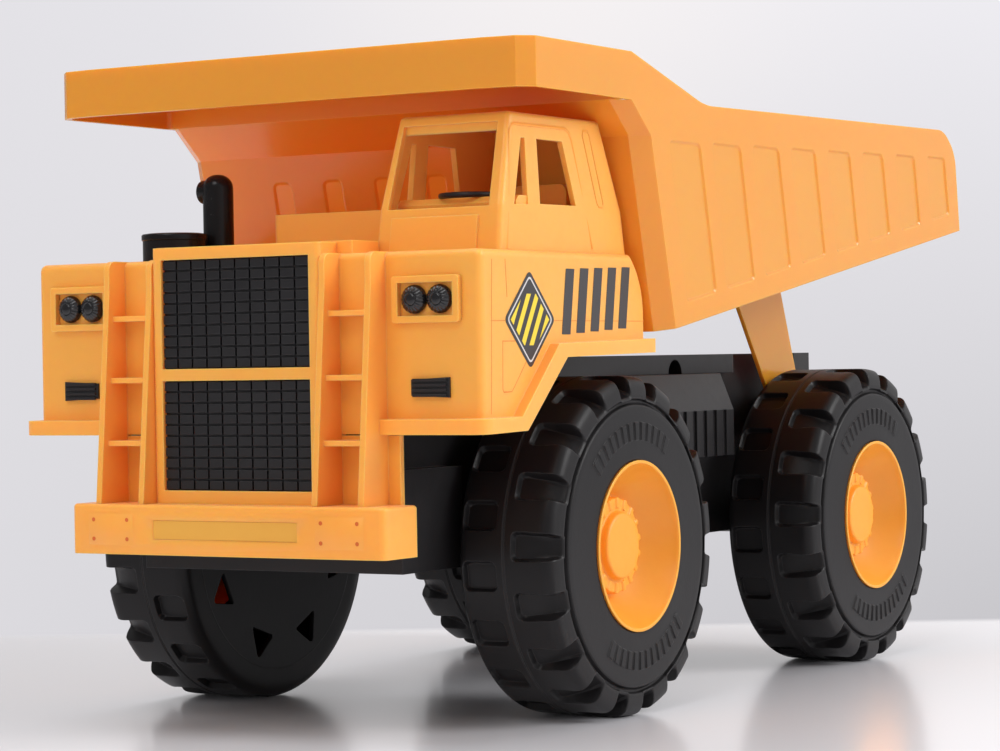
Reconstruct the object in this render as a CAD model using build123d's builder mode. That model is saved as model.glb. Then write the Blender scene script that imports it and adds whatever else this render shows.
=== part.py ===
"""Toy mining dump truck: moulded body and cab on a black chassis tub, pressed tipping bed, four free wheels.

Millimetres, +Z up, ground at Z = 0. The truck faces -Y and +X is its left. The origin is on the ground
under the middle of the whole toy. Distances along the truck are given back from the bumper's front face.
"""
from build123d import *
import os

os.makedirs("parts", exist_ok=True)

# ---------------------------------------------------------------- driving sizes
OVERALL_LENGTH = 406.0
FRONT = -OVERALL_LENGTH / 2          # y of the bumper's front face
AXLE_FRONT = 114.4                   # back from the bumper
AXLE_REAR = 318.4
TYRE_RADIUS = 60.0
TYRE_WIDTH = 39.0
TYRE_INNER = 58.2                    # x of the tyre's inner face
AXLE_RADIUS = 2.5
RUNNING_FIT = 0.08                   # radial play of a turning part on its rod
SNUG_FIT = 0.02                      # radial play of a fixed rod in its boss
SIDE_PLAY = 1.0                      # end play of a wheel along its axle

DECK_TOP = 162.8
BODY_HALF = 92.6                     # half width over the fender walls
BODY_WALL = 2.2
BODY_FRONT = 18.0
BODY_REAR = 130.2
BODY_ROUND = 2.5                     # radius of the fenders' outer edges
LIP_HALF = 96.5
LIP_FRONT = 12.9
LIP_LOW = 101.9

RAIL_TOP = 127.0
RAIL_DEPTH = 7.6
RAIL_HALF = 54.0
HULL_BOTTOM = 55.0
HULL_STEP = 90.0                     # top of the wide block behind the bumper
WEB_HALF = 48.0
CHASSIS_FRONT = 28.0
CHASSIS_REAR = 348.0

BUMPER_HALF = 65.0
BUMPER_LOW = 61.7
BUMPER_TOP = 78.9
BUMPER_DEPTH = 20.2
PLATE_RAISE = 0.6

HOUSING_HALF = 35.0
HOUSING_FRONT = 9.1
HOUSING_TOP = 166.6
LADDER_OUTER = 55.6
LADDER_RAIL = 2.2                    # thickness of a ladder's side rail

BED_HALF = 100.0
BED_WALL = 1.6
BED_TOP = 233.4
BED_BEVEL = 6.0                      # 45 degree bevel down each headboard corner
CANOPY_FRONT = 37.0
CANOPY_LOW = 216.5
HINGE_BACK = 325.0
HINGE_Z = 100.0
HINGE_RADIUS = 2.5
LEG_INNER = 54.6
LEG_THICK = 1.8


def side_profile(points):
    """Points (back from the bumper, height) as frame points on the YZ plane."""
    return [(FRONT + back, up) for back, up in points]


# ---------------------------------------------------------------- chassis tub
RAIL_LOW = RAIL_TOP - RAIL_DEPTH
# columns: half width, low z, high z, front and rear back-distance, radius of the rear corners
hull_blocks = [
    (WEB_HALF, HULL_BOTTOM, RAIL_TOP, CHASSIS_FRONT, CHASSIS_REAR - 7.0, 0.0),
    (RAIL_HALF, HULL_BOTTOM, HULL_STEP, CHASSIS_FRONT, 66.0, 0.0),
    (RAIL_HALF, RAIL_LOW, RAIL_TOP, CHASSIS_FRONT, 280.0, 5.0),
    (RAIL_HALF, RAIL_LOW, RAIL_TOP, CHASSIS_REAR - 15.0, CHASSIS_REAR, 0.0),
]
HINGE_BOSS = 9.0                     # radius
SADDLE_RADIUS = 8.0
NOTCH_BACK = 225.5                   # half-round notch under each rail
NOTCH_RADIUS = 5.6
WELL_RADIUS = 4.5
WELL_DEPTH = 9.0
PAD_X = 44.0                         # pads that carry the lowered bed
PAD_BACK = 150.0
PAD_SIZE = (14.0, 12.0)
FLOOR_FRONT = (139.7, 136.4)         # lower front corner of the bed's side
FLOOR_REAR = 179.0                   # height of the bed's rear tip
FLOOR_RISE = (FLOOR_REAR - FLOOR_FRONT[1]) / (OVERALL_LENGTH - FLOOR_FRONT[0])
PAD_GAP = 0.35


def floor_under(back):
    """Height of the bed floor's underside at a distance back."""
    return FLOOR_FRONT[1] + FLOOR_RISE * (back - FLOOR_FRONT[0])


with BuildPart() as chassis:
    for half, low, high, fore, aft, corner in hull_blocks:
        with BuildSketch(Plane.XY.offset(low)) as block_plan:
            with Locations((0, FRONT + (fore + aft) / 2)):
                Rectangle(2 * half, aft - fore)
            if corner:
                fillet(block_plan.vertices().group_by(Axis.Y)[-1], corner)
        extrude(amount=high - low)
    for notch_x in (-RAIL_HALF, WEB_HALF):
        with BuildSketch(Plane.YZ.offset(notch_x)):
            with Locations((FRONT + NOTCH_BACK, RAIL_LOW)):
                Circle(NOTCH_RADIUS)
        extrude(amount=RAIL_HALF - WEB_HALF, mode=Mode.SUBTRACT)
    # bosses for the bed's hinge pin and saddles for the axles, each bored for its rod
    # columns: back, z, half length, outer radius, rod radius
    for boss_back, boss_z, boss_half, boss_radius, rod_radius in (
        (HINGE_BACK, HINGE_Z, RAIL_HALF, HINGE_BOSS, HINGE_RADIUS),
        (AXLE_FRONT, TYRE_RADIUS, TYRE_INNER - SIDE_PLAY, SADDLE_RADIUS, AXLE_RADIUS),
        (AXLE_REAR, TYRE_RADIUS, TYRE_INNER - SIDE_PLAY, SADDLE_RADIUS, AXLE_RADIUS),
    ):
        for radius, way in ((boss_radius, Mode.ADD), (rod_radius + SNUG_FIT, Mode.SUBTRACT)):
            with BuildSketch(Plane.YZ.offset(-boss_half)):
                with Locations((FRONT + boss_back, boss_z)):
                    Circle(radius)
            extrude(amount=2 * boss_half, mode=way)
    # screw wells in the underside
    with BuildSketch(Plane.XY.offset(HULL_BOTTOM)):
        with Locations((0, FRONT + (AXLE_FRONT + AXLE_REAR) / 2)):
            with GridLocations(WEB_HALF + PAD_X - 12, 110, 2, 2):
                Circle(WELL_RADIUS)
    extrude(amount=WELL_DEPTH, mode=Mode.SUBTRACT)
    # rest pads, cut to the slope of the bed's floor
    with BuildSketch(Plane.XY.offset(RAIL_TOP)):
        with Locations((-PAD_X, FRONT + PAD_BACK), (PAD_X, FRONT + PAD_BACK)):
            Rectangle(*PAD_SIZE)
    extrude(amount=floor_under(PAD_BACK + PAD_SIZE[1]) - RAIL_TOP)
    pad_fore = PAD_BACK - PAD_SIZE[1]
    pad_aft = PAD_BACK + PAD_SIZE[1]
    with BuildSketch(Plane.YZ.offset(-RAIL_HALF)):
        with BuildLine():
            Polyline(
                *side_profile(
                    [
                        (pad_fore, floor_under(pad_fore) - PAD_GAP),
                        (pad_aft, floor_under(pad_aft) - PAD_GAP),
                        (pad_aft, floor_under(pad_aft) + PAD_SIZE[1]),
                        (pad_fore, floor_under(pad_aft) + PAD_SIZE[1]),
                    ]
                ),
                close=True,
            )
        make_face()
    extrude(amount=2 * RAIL_HALF, mode=Mode.SUBTRACT)

# ---------------------------------------------------------------- side tanks
TANK_FRONT = 177.0
TANK_REAR = 252.0
TANK_OUTER = 66.0
TANK_LOW = 87.0
TANK_SHOULDER = 105.0                # the outer face leans in above this height
TANK_LEAN = 5.8
FLUTES = 8
FLUTE_PITCH = 8.5
FLUTE_SIZE = (2.4, 3.2)              # twice the depth, width
with BuildPart() as side_tank_left:
    with BuildSketch(Plane.XZ.offset(-(FRONT + TANK_FRONT))):
        with BuildLine():
            Polyline(
                (WEB_HALF, TANK_LOW),
                (TANK_OUTER, TANK_LOW),
                (TANK_OUTER, TANK_SHOULDER),
                (TANK_OUTER - TANK_LEAN, RAIL_LOW),
                (WEB_HALF, RAIL_LOW),
                close=True,
            )
        make_face()
    extrude(amount=-(TANK_REAR - TANK_FRONT))
    with BuildSketch(Plane.XY.offset(TANK_LOW)):
        with Locations((TANK_OUTER, FRONT + (TANK_FRONT + TANK_REAR) / 2)):
            with GridLocations(1, FLUTE_PITCH, 1, FLUTES):
                Rectangle(*FLUTE_SIZE)
    extrude(amount=TANK_SHOULDER - TANK_LOW, mode=Mode.SUBTRACT)

# ---------------------------------------------------------------- bumper
BUMPER_CORNER = 2.5
BUMPER_ROUND = 1.2
BUMPER_MID = (BUMPER_LOW + BUMPER_TOP) / 2
PLATE_X = 47.5
PLATE_SIZE = (19.8, 11.2)
RECESS_SIZE = (60.8, 7.5)
BUMPER_FACE = FRONT + PLATE_RAISE
with BuildPart() as bumper:
    with BuildSketch(Plane.XY.offset(BUMPER_LOW)) as bumper_plan:
        with Locations((0, (BUMPER_FACE + FRONT + BUMPER_DEPTH) / 2)):
            Rectangle(2 * BUMPER_HALF, BUMPER_DEPTH - PLATE_RAISE)
        fillet(bumper_plan.vertices().group_by(Axis.Y)[0], BUMPER_CORNER)
    extrude(amount=BUMPER_TOP - BUMPER_LOW)
    fillet(bumper.faces().sort_by(Axis.Z)[-1].edges(), BUMPER_ROUND)
    with BuildSketch(Plane.XZ.offset(-BUMPER_FACE)):
        with Locations((0, BUMPER_MID)):
            Rectangle(*RECESS_SIZE)
    extrude(amount=-1.0, mode=Mode.SUBTRACT)
    with BuildSketch(Plane.XZ.offset(-BUMPER_FACE)):
        with Locations((-PLATE_X, BUMPER_MID), (PLATE_X, BUMPER_MID)):
            Rectangle(*PLATE_SIZE)
    extrude(amount=PLATE_RAISE)

# ---------------------------------------------------------------- body shell
LIP_DEPTH = 5.4
ARCH_FOOT = (40.3, LIP_LOW + 0.9)    # where the wheel arch starts to climb
ARCH_HEAD = (67.4, RAIL_TOP - 0.1)   # where it levels out
LIP_REAR = RAIL_TOP + 1.0            # height of the lip's underside at the rear
LIP_CORNER = 5.0
FENDER_TURN = (120.5, 143.0)         # back where the deck's top ends, height where the rear wall starts
lip_band = [
    (LIP_FRONT, LIP_LOW),
    ARCH_FOOT,
    ARCH_HEAD,
    (BODY_REAR, LIP_REAR),
    (BODY_REAR, LIP_REAR + LIP_DEPTH - 0.4),
    (ARCH_HEAD[0] - 5.3, ARCH_HEAD[1] + LIP_DEPTH - 0.8),
    (ARCH_FOOT[0] - 3.4, ARCH_FOOT[1] + LIP_DEPTH - 0.7),
    (LIP_FRONT, LIP_LOW + LIP_DEPTH),
]
HOUSING_WALL = 2.4
GRILLE_HALF = 30.8
GRILLE_POCKET = 3.5
# columns: name, low z, high z of the two grille inserts
grille_table = [("grille_lower", 83.4, 120.9), ("grille_upper", 125.0, 162.4)]
HOOD_HALF = 41.3
HOOD_TOP = 167.2
HOOD_REAR = 36.0
LADDER_FOOT = 2.7                    # back-distance of the ladder rails' front edge at the bumper
LADDER_HEAD = 152.0                  # height where the rails meet the housing's front
LADDER_ROUND = 3.5
RUNG_HEIGHTS = (99.6, 121.3, 142.7)
RUNG_THICK = 1.8
RUNG_SETBACK = 2.8
SKIRT_HALF = 60.4
DECK_RIBS = (60.0, 100.0)
DECK_BOX = (-16.0, 38.4, 55.0, 101.0)   # x, x, back, back
DECK_BOX_TOP = 178.8


def deck_outline(inset, low):
    """Side outline of the deck and its rounded rear, drawn in by the wall, open ends down to a height."""
    top = DECK_TOP - inset
    rear = BODY_REAR - inset
    turn_back, turn_up = FENDER_TURN
    with BuildLine() as outline:
        Polyline(
            *side_profile(
                [
                    (rear, turn_up),
                    (rear, low),
                    (BODY_FRONT + inset, low),
                    (BODY_FRONT + inset, top),
                    (turn_back, top),
                ]
            )
        )
        ThreePointArc(*side_profile([(turn_back, top), (rear - 2.8, top - 8.8), (rear, turn_up)]))
    return outline.line


def rail_front(up):
    """Back-distance of a ladder rail's front edge at a height."""
    return LADDER_FOOT + (HOUSING_FRONT - LADDER_FOOT) * (up - BUMPER_TOP) / (LADDER_HEAD - BUMPER_TOP)


with BuildPart() as fender_lip:
    with BuildSketch(Plane.YZ.offset(LADDER_OUTER)):
        with BuildLine():
            Polyline(*side_profile(lip_band), close=True)
        make_face()
    extrude(amount=LIP_HALF - LADDER_OUTER)
    fillet(fender_lip.edges().filter_by(Axis.Z).group_by(Axis.Y)[0].sort_by(Axis.X)[-1], LIP_CORNER)
with BuildPart() as body_shell:
    # deck and fender walls
    with BuildSketch(Plane.YZ.offset(-BODY_HALF)):
        add(deck_outline(0.0, LIP_LOW))
        make_face()
    extrude(amount=2 * BODY_HALF)
    fender_edges = body_shell.edges().filter_by(Axis.X, reverse=True).group_by(Axis.Z)[1:]
    front_top_edge = body_shell.edges().filter_by(Axis.X).group_by(Axis.Y)[0].sort_by(Axis.Z)[-1]
    fillet([edge for group in fender_edges for edge in group] + [front_top_edge], BODY_ROUND)
    # lips around the wheel arches
    add(fender_lip.part)
    add(mirror(fender_lip.part, about=Plane.YZ))
    # hollow inside, open below
    with BuildSketch(Plane.YZ.offset(-(BODY_HALF - BODY_WALL))):
        add(deck_outline(BODY_WALL, HULL_STEP))
        make_face()
    extrude(amount=2 * (BODY_HALF - BODY_WALL), mode=Mode.SUBTRACT)
    with BuildSketch(Plane.YZ.offset(-LIP_HALF)):
        with BuildLine():
            Polyline(
                *side_profile([(0, HULL_STEP), (0, LIP_LOW), *lip_band[1:4], (OVERALL_LENGTH, LIP_REAR)]),
                (FRONT + OVERALL_LENGTH, HULL_STEP),
                close=True,
            )
        make_face()
    extrude(amount=2 * LIP_HALF, mode=Mode.SUBTRACT)
    # skirt down to the bumper, behind the ladders
    with BuildSketch(Plane.XY.offset(BUMPER_TOP)) as skirt_plan:
        with Locations((0, FRONT + BODY_FRONT + BODY_WALL / 2)):
            Rectangle(2 * SKIRT_HALF, BODY_WALL)
    extrude(amount=LIP_LOW - BUMPER_TOP)
    # hood block on the deck and the tall grille housing in front of it
    with BuildSketch(Plane.XY.offset(DECK_TOP - BODY_WALL)):
        with Locations((0, FRONT + (BODY_FRONT + HOOD_REAR) / 2 + 1)):
            Rectangle(2 * HOOD_HALF, HOOD_REAR - BODY_FRONT - 2)
    extrude(amount=HOOD_TOP - DECK_TOP + BODY_WALL)
    with BuildSketch(Plane.XY.offset(BUMPER_TOP)) as housing_plan:
        with Locations((0, FRONT + (HOUSING_FRONT + BODY_FRONT + BODY_WALL) / 2)):
            Rectangle(2 * HOUSING_HALF, BODY_FRONT + BODY_WALL - HOUSING_FRONT)
        fillet(housing_plan.vertices().group_by(Axis.Y)[0], BODY_ROUND - 0.5)
    extrude(amount=HOUSING_TOP - BUMPER_TOP)
    with BuildSketch(Plane.XY.offset(BUMPER_TOP + HOUSING_WALL)):
        with Locations((0, FRONT + (HOUSING_FRONT + GRILLE_POCKET + HOUSING_WALL + CHASSIS_FRONT) / 2)):
            Rectangle(
                2 * (HOUSING_HALF - HOUSING_WALL),
                CHASSIS_FRONT - HOUSING_FRONT - GRILLE_POCKET - HOUSING_WALL,
            )
    extrude(amount=DECK_TOP - 2 * HOUSING_WALL - BUMPER_TOP, mode=Mode.SUBTRACT)
    for grille_name, low, high in grille_table:
        with BuildSketch(Plane.XZ.offset(-(FRONT + HOUSING_FRONT))):
            with Locations((0, (low + high) / 2)):
                Rectangle(2 * GRILLE_HALF, high - low)
        extrude(amount=-GRILLE_POCKET, mode=Mode.SUBTRACT)
    # ladder rails, rounded over into the deck, and their rungs
    for rail_x in (-LADDER_OUTER, -HOUSING_HALF - LADDER_RAIL, HOUSING_HALF, LADDER_OUTER - LADDER_RAIL):
        with BuildSketch(Plane.YZ.offset(rail_x)) as rail_side:
            with BuildLine():
                Polyline(
                    *side_profile(
                        [
                            (LADDER_FOOT, BUMPER_TOP),
                            (HOUSING_FRONT, LADDER_HEAD),
                            (HOUSING_FRONT, DECK_TOP),
                            (BODY_FRONT + BODY_WALL, DECK_TOP),
                            (BODY_FRONT + BODY_WALL, BUMPER_TOP),
                        ]
                    ),
                    close=True,
                )
            make_face()
            fillet(rail_side.vertices().group_by(Axis.Y)[-1].sort_by(Axis.X)[0], LADDER_ROUND)
        extrude(amount=LADDER_RAIL)
    for rung_z in RUNG_HEIGHTS:
        rung_front = rail_front(rung_z) + RUNG_SETBACK
        with BuildSketch(Plane.XY.offset(rung_z - RUNG_THICK / 2)):
            with Locations((0, FRONT + (rung_front + BODY_FRONT) / 2)):
                with GridLocations(HOUSING_HALF + LADDER_OUTER, 1, 2, 1):
                    Rectangle(LADDER_OUTER - HOUSING_HALF - LADDER_RAIL, BODY_FRONT - rung_front)
        extrude(amount=RUNG_THICK)
    # ribs that stand on the chassis
    for rib_back in DECK_RIBS:
        with BuildSketch(Plane.XY.offset(RAIL_TOP)):
            with Locations((0, FRONT + rib_back)):
                Rectangle(2 * WEB_HALF, BODY_WALL)
        extrude(amount=DECK_TOP - BODY_WALL - RAIL_TOP)
    # low box on the deck behind the hood
    box_x0, box_x1, box_fore, box_aft = DECK_BOX
    with BuildSketch(Plane.XY.offset(DECK_TOP - BODY_WALL)) as deck_box_plan:
        with Locations(((box_x0 + box_x1) / 2, FRONT + (box_fore + box_aft) / 2)):
            Rectangle(box_x1 - box_x0, box_aft - box_fore)
        fillet(deck_box_plan.vertices(), BODY_ROUND)
    extrude(amount=DECK_BOX_TOP - DECK_TOP + BODY_WALL)

# ---------------------------------------------------------------- grille inserts
GRILLE_CELLS = 10
GRILLE_GROOVE = 0.8
GRILLE_SINK = 2.0                    # cells' base behind the housing's face
CELL_RAISE = 1.2
grilles = {}
for grille_name, low, high in grille_table:
    cell_w = 2 * GRILLE_HALF / GRILLE_CELLS
    cell_h = (high - low) / GRILLE_CELLS
    with BuildPart() as grille:
        with BuildSketch(Plane.XZ.offset(-(FRONT + HOUSING_FRONT + GRILLE_SINK))):
            with Locations((0, (low + high) / 2)):
                Rectangle(2 * GRILLE_HALF, high - low)
        extrude(amount=GRILLE_SINK - GRILLE_POCKET)
        with BuildSketch(Plane.XZ.offset(-(FRONT + HOUSING_FRONT + GRILLE_SINK))):
            with Locations((0, (low + high) / 2)):
                with GridLocations(cell_w, cell_h, GRILLE_CELLS, GRILLE_CELLS):
                    Rectangle(cell_w - GRILLE_GROOVE, cell_h - GRILLE_GROOVE)
        extrude(amount=CELL_RAISE)
    grilles[grille_name] = grille

# ---------------------------------------------------------------- headlamps and vents
LAMP_MIDDLE = (72.3, 146.7)
BEZEL_SIZE = (25.9, 15.5)
BEZEL_FRAME = 2.3
BEZEL_RAISE = 2.3
LAMP_RADIUS = 4.8
LAMP_PITCH = 9.9
LAMP_RAISE = 3.8
VENT_RAISE = 0.8
SLATS = 4
FACE = Plane.XZ.offset(-(FRONT + BODY_FRONT))
with BuildPart() as headlamp_bezel_left:
    with BuildSketch(FACE):
        with Locations(LAMP_MIDDLE):
            RectangleRounded(*BEZEL_SIZE, 1.2)
            Rectangle(BEZEL_SIZE[0] - 2 * BEZEL_FRAME, BEZEL_SIZE[1] - 2 * BEZEL_FRAME, mode=Mode.SUBTRACT)
    extrude(amount=BEZEL_RAISE)
with BuildPart() as headlamps_left:
    with BuildSketch(FACE):
        with Locations(LAMP_MIDDLE):
            with GridLocations(LAMP_PITCH, 1, 2, 1):
                Circle(LAMP_RADIUS)
    extrude(amount=LAMP_RAISE)
    fillet(headlamps_left.edges().group_by(Axis.Y)[0], LAMP_RAISE - 0.8)
with BuildPart() as vent_left:
    with BuildSketch(FACE):
        with BuildLine():
            Polyline((65.6, 115.0), (80.5, 114.3), (80.5, 121.0), (65.6, 120.3), close=True)
        make_face()
    extrude(amount=VENT_RAISE)
    with BuildSketch(FACE.offset(VENT_RAISE)):
        with Locations((73.0, 117.6)):
            with GridLocations(1, 1.7, 1, SLATS):
                Rectangle(13.0, 0.9)
    extrude(amount=VENT_RAISE)

# ---------------------------------------------------------------- cab
CAB_LEFT = BODY_HALF - 4.2           # outer face at the deck
CAB_WALL = 2.0
CAB_ROUND = 2.0
# columns: height, inner side's x, shift in of the outer side, front and rear back-distance
cab_rows = [
    (DECK_TOP, 39.0, 0.0, 37.2, 124.8),
    (178.0, 39.3, 0.3, 39.6, 122.4),
    (209.8, 41.6, 2.6, 49.5, 110.8),
]
DASH_FORE = 50.0
DASH_AFT = 62.0
DASH_TOP = 181.5
WHEEL_AT = (64.5, 58.0)              # steering wheel's x and back-distance


def cab_loft(inset, roof_drop):
    """Tapered box through the cab's rows, drawn in by the wall."""
    with BuildPart() as block:
        for up, x0, shift, fore, aft in cab_rows:
            with BuildSketch(Plane.XY.offset(min(up, cab_rows[-1][0] - roof_drop))):
                with Locations(((x0 + CAB_LEFT - shift) / 2, FRONT + (fore + aft) / 2)):
                    Rectangle(CAB_LEFT - shift - x0 - 2 * inset, aft - fore - 2 * inset)
        loft(ruled=True)
    return block.part


with BuildPart() as cab:
    add(cab_loft(0.0, 0.0))
    cab_corners = cab.edges().filter_by(lambda edge: abs(edge.tangent_at(0.5).Z) > 0.5)
    fillet(cab_corners + cab.faces().sort_by(Axis.Z)[-1].edges(), CAB_ROUND)
    add(cab_loft(CAB_WALL, CAB_WALL), mode=Mode.SUBTRACT)
    # windscreen
    with BuildSketch(Plane.XZ.offset(-(FRONT + DASH_FORE))):
        with BuildLine():
            Polyline((43.0, 177.7), (83.1, 177.7), (81.7, 206.4), (44.3, 206.4), close=True)
        make_face()
    extrude(amount=DASH_FORE, mode=Mode.SUBTRACT)
    # side windows, both sides alike
    for window in (
        [(47.7, 178.3), (56.9, 178.5), (58.0, 201.1), (55.4, 201.0)],
        [(64.9, 178.9), (89.5, 179.1), (83.3, 201.1), (65.7, 201.2)],
    ):
        with BuildSketch(Plane.YZ):
            with BuildLine():
                Polyline(*side_profile(window), close=True)
            make_face()
        extrude(amount=BODY_HALF, mode=Mode.SUBTRACT)
    # raised panel low on the front
    with BuildSketch(Plane.YZ.offset(45.2)):
        with BuildLine():
            Polyline(
                *side_profile([(36.4, DECK_TOP), (38.2, 174.8), (40.0, 174.8), (38.0, DECK_TOP)]),
                close=True,
            )
        make_face()
    extrude(amount=34.3)
    # dashboard from wall to wall
    with BuildSketch(Plane.YZ.offset(cab_rows[0][1] + CAB_WALL / 2)):
        with BuildLine():
            Polyline(
                *side_profile(
                    [
                        (DASH_FORE + 2, DECK_TOP),
                        (DASH_FORE, DASH_TOP - 2),
                        (DASH_FORE + 2, DASH_TOP),
                        (DASH_AFT, DASH_TOP),
                        (DASH_AFT - 2, DECK_TOP),
                    ]
                ),
                close=True,
            )
        make_face()
    extrude(amount=CAB_LEFT - cab_rows[0][1] - CAB_WALL)
SEAT_AT = (66.0, 96.0)               # x and back-distance
SEAT_SIZE = (22.0, 20.0, 9.0)
BACKREST = (4.0, 16.0)               # thickness, height above the cushion
with BuildPart() as cab_seat:
    with BuildSketch(Plane.XY.offset(DECK_TOP)):
        with Locations((SEAT_AT[0], FRONT + SEAT_AT[1])):
            Rectangle(*SEAT_SIZE[:2])
    extrude(amount=SEAT_SIZE[2])
    with BuildSketch(Plane.XY.offset(DECK_TOP + SEAT_SIZE[2])):
        with Locations((SEAT_AT[0], FRONT + SEAT_AT[1] + (SEAT_SIZE[1] - BACKREST[0]) / 2)):
            Rectangle(SEAT_SIZE[0], BACKREST[0])
    extrude(amount=BACKREST[1])
    fillet(cab_seat.edges().filter_by(Axis.Y).group_by(Axis.Z)[-1], 3.0)
with BuildPart() as steering_wheel:
    with BuildSketch(Plane.XY.offset(DASH_TOP)):
        with Locations((WHEEL_AT[0], FRONT + WHEEL_AT[1])):
            Circle(11.0)
    extrude(amount=2.0)
    chamfer(steering_wheel.faces().sort_by(Axis.Z)[-1].edges(), 0.7)

# ---------------------------------------------------------------- deck fittings
STACK_AT = (-43.5, 60.0)             # x and back-distance
STACK_RADIUS = 5.5
STACK_TOP = 194.7
DRUM_AT = (-50.4, 43.0)
DRUM_RADIUS = 11.4
DRUM_TOP = 173.3
DRUM_ROUND = 2.0
with BuildPart() as exhaust_stack:
    with BuildSketch(Plane.XY.offset(DECK_TOP)):
        with Locations((STACK_AT[0], FRONT + STACK_AT[1])):
            Circle(STACK_RADIUS)
    extrude(amount=STACK_TOP - DECK_TOP)
    fillet(exhaust_stack.edges().group_by(Axis.Z)[-1], STACK_RADIUS - 0.5)
with BuildPart() as air_cleaner:
    with BuildSketch(Plane.XY.offset(DECK_TOP)):
        with Locations((DRUM_AT[0], FRONT + DRUM_AT[1])):
            Circle(DRUM_RADIUS)
    extrude(amount=DRUM_TOP - DECK_TOP)
    fillet(air_cleaner.edges().group_by(Axis.Z)[-1], DRUM_ROUND)

# ---------------------------------------------------------------- axles and pin
DISH_FLOOR = 24.0                    # hub seat, out from the tyre's inner face
AXLE_HALF = TYRE_INNER + DISH_FLOOR + 1.8
axles = {}
for axle_name, axle_back in (("axle_front", AXLE_FRONT), ("axle_rear", AXLE_REAR)):
    with BuildPart() as axle:
        with BuildSketch(Plane.YZ.offset(-AXLE_HALF)):
            with Locations((FRONT + axle_back, TYRE_RADIUS)):
                Circle(AXLE_RADIUS)
        extrude(amount=2 * AXLE_HALF)
    axles[axle_name] = axle
PIN_HALF = LEG_INNER + LEG_THICK + 0.8
with BuildPart() as hinge_pin:
    with BuildSketch(Plane.YZ.offset(-PIN_HALF)):
        with Locations((FRONT + HINGE_BACK, HINGE_Z)):
            Circle(HINGE_RADIUS)
    extrude(amount=2 * PIN_HALF)

# ---------------------------------------------------------------- bed
SLOPE_FOOT = (FLOOR_FRONT[0] - BED_BEVEL, floor_under(FLOOR_FRONT[0] - BED_BEVEL))
SLOPE_HEAD = (117.1, 204.7)          # where the headboard turns forward under the canopy
HEAD_TOP = (103.2, CANOPY_LOW)
CANOPY_REAR = 109.4
SIDE_DIP = (165.3, 218.0)            # low point of the side's top edge
SIDE_TAIL = (OVERALL_LENGTH - 16.0, 221.8)
TAIL_TURN = (OVERALL_LENGTH - 4.0, 212.5)
CANOPY_CORNER = (17.0, 1.4, 5.0)     # facet width, facet depth, bevel
PANELS = 8
PANEL_DEPTH = 0.7
PANEL_FIRST = (137.0, 148.5, 24.0, 204.0)   # top and low front corner, width, top z
PANEL_LAST = (371.0, 375.5, 19.5, 210.0)
PANEL_MARGIN = 8.0                   # above the floor
RIBS = 6
RIB_PITCH = 23.0
RIB_WIDTH = 9.0
RIB_REACH = (150.0, 195.0)           # heights


def headboard_front(up):
    """Back-distance of the headboard's front face at a height, below its turn."""
    run = (SLOPE_HEAD[0] - SLOPE_FOOT[0]) / (SLOPE_HEAD[1] - SLOPE_FOOT[1])
    return SLOPE_FOOT[0] + run * (up - SLOPE_FOOT[1])


def corner_prism(shift):
    """Solid outside the 45 degree bevel down a headboard corner, moved back by a shift."""
    low = SLOPE_FOOT[1] - BED_BEVEL
    rows = [(low, headboard_front(low)), (SLOPE_HEAD[1], SLOPE_HEAD[0]), (HEAD_TOP[1], HEAD_TOP[0])]
    with BuildPart() as prism:
        for up, fore in rows:
            x = BED_HALF - BED_BEVEL
            y = FRONT + fore + shift
            with BuildSketch(Plane.XY.offset(up)):
                with BuildLine():
                    Polyline((x - 2, y - 2), (x + 9, y - 2), (x + 9, y + 9), close=True)
                make_face()
        loft(ruled=True)
        mirror(about=Plane.YZ)
    return prism.part


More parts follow.
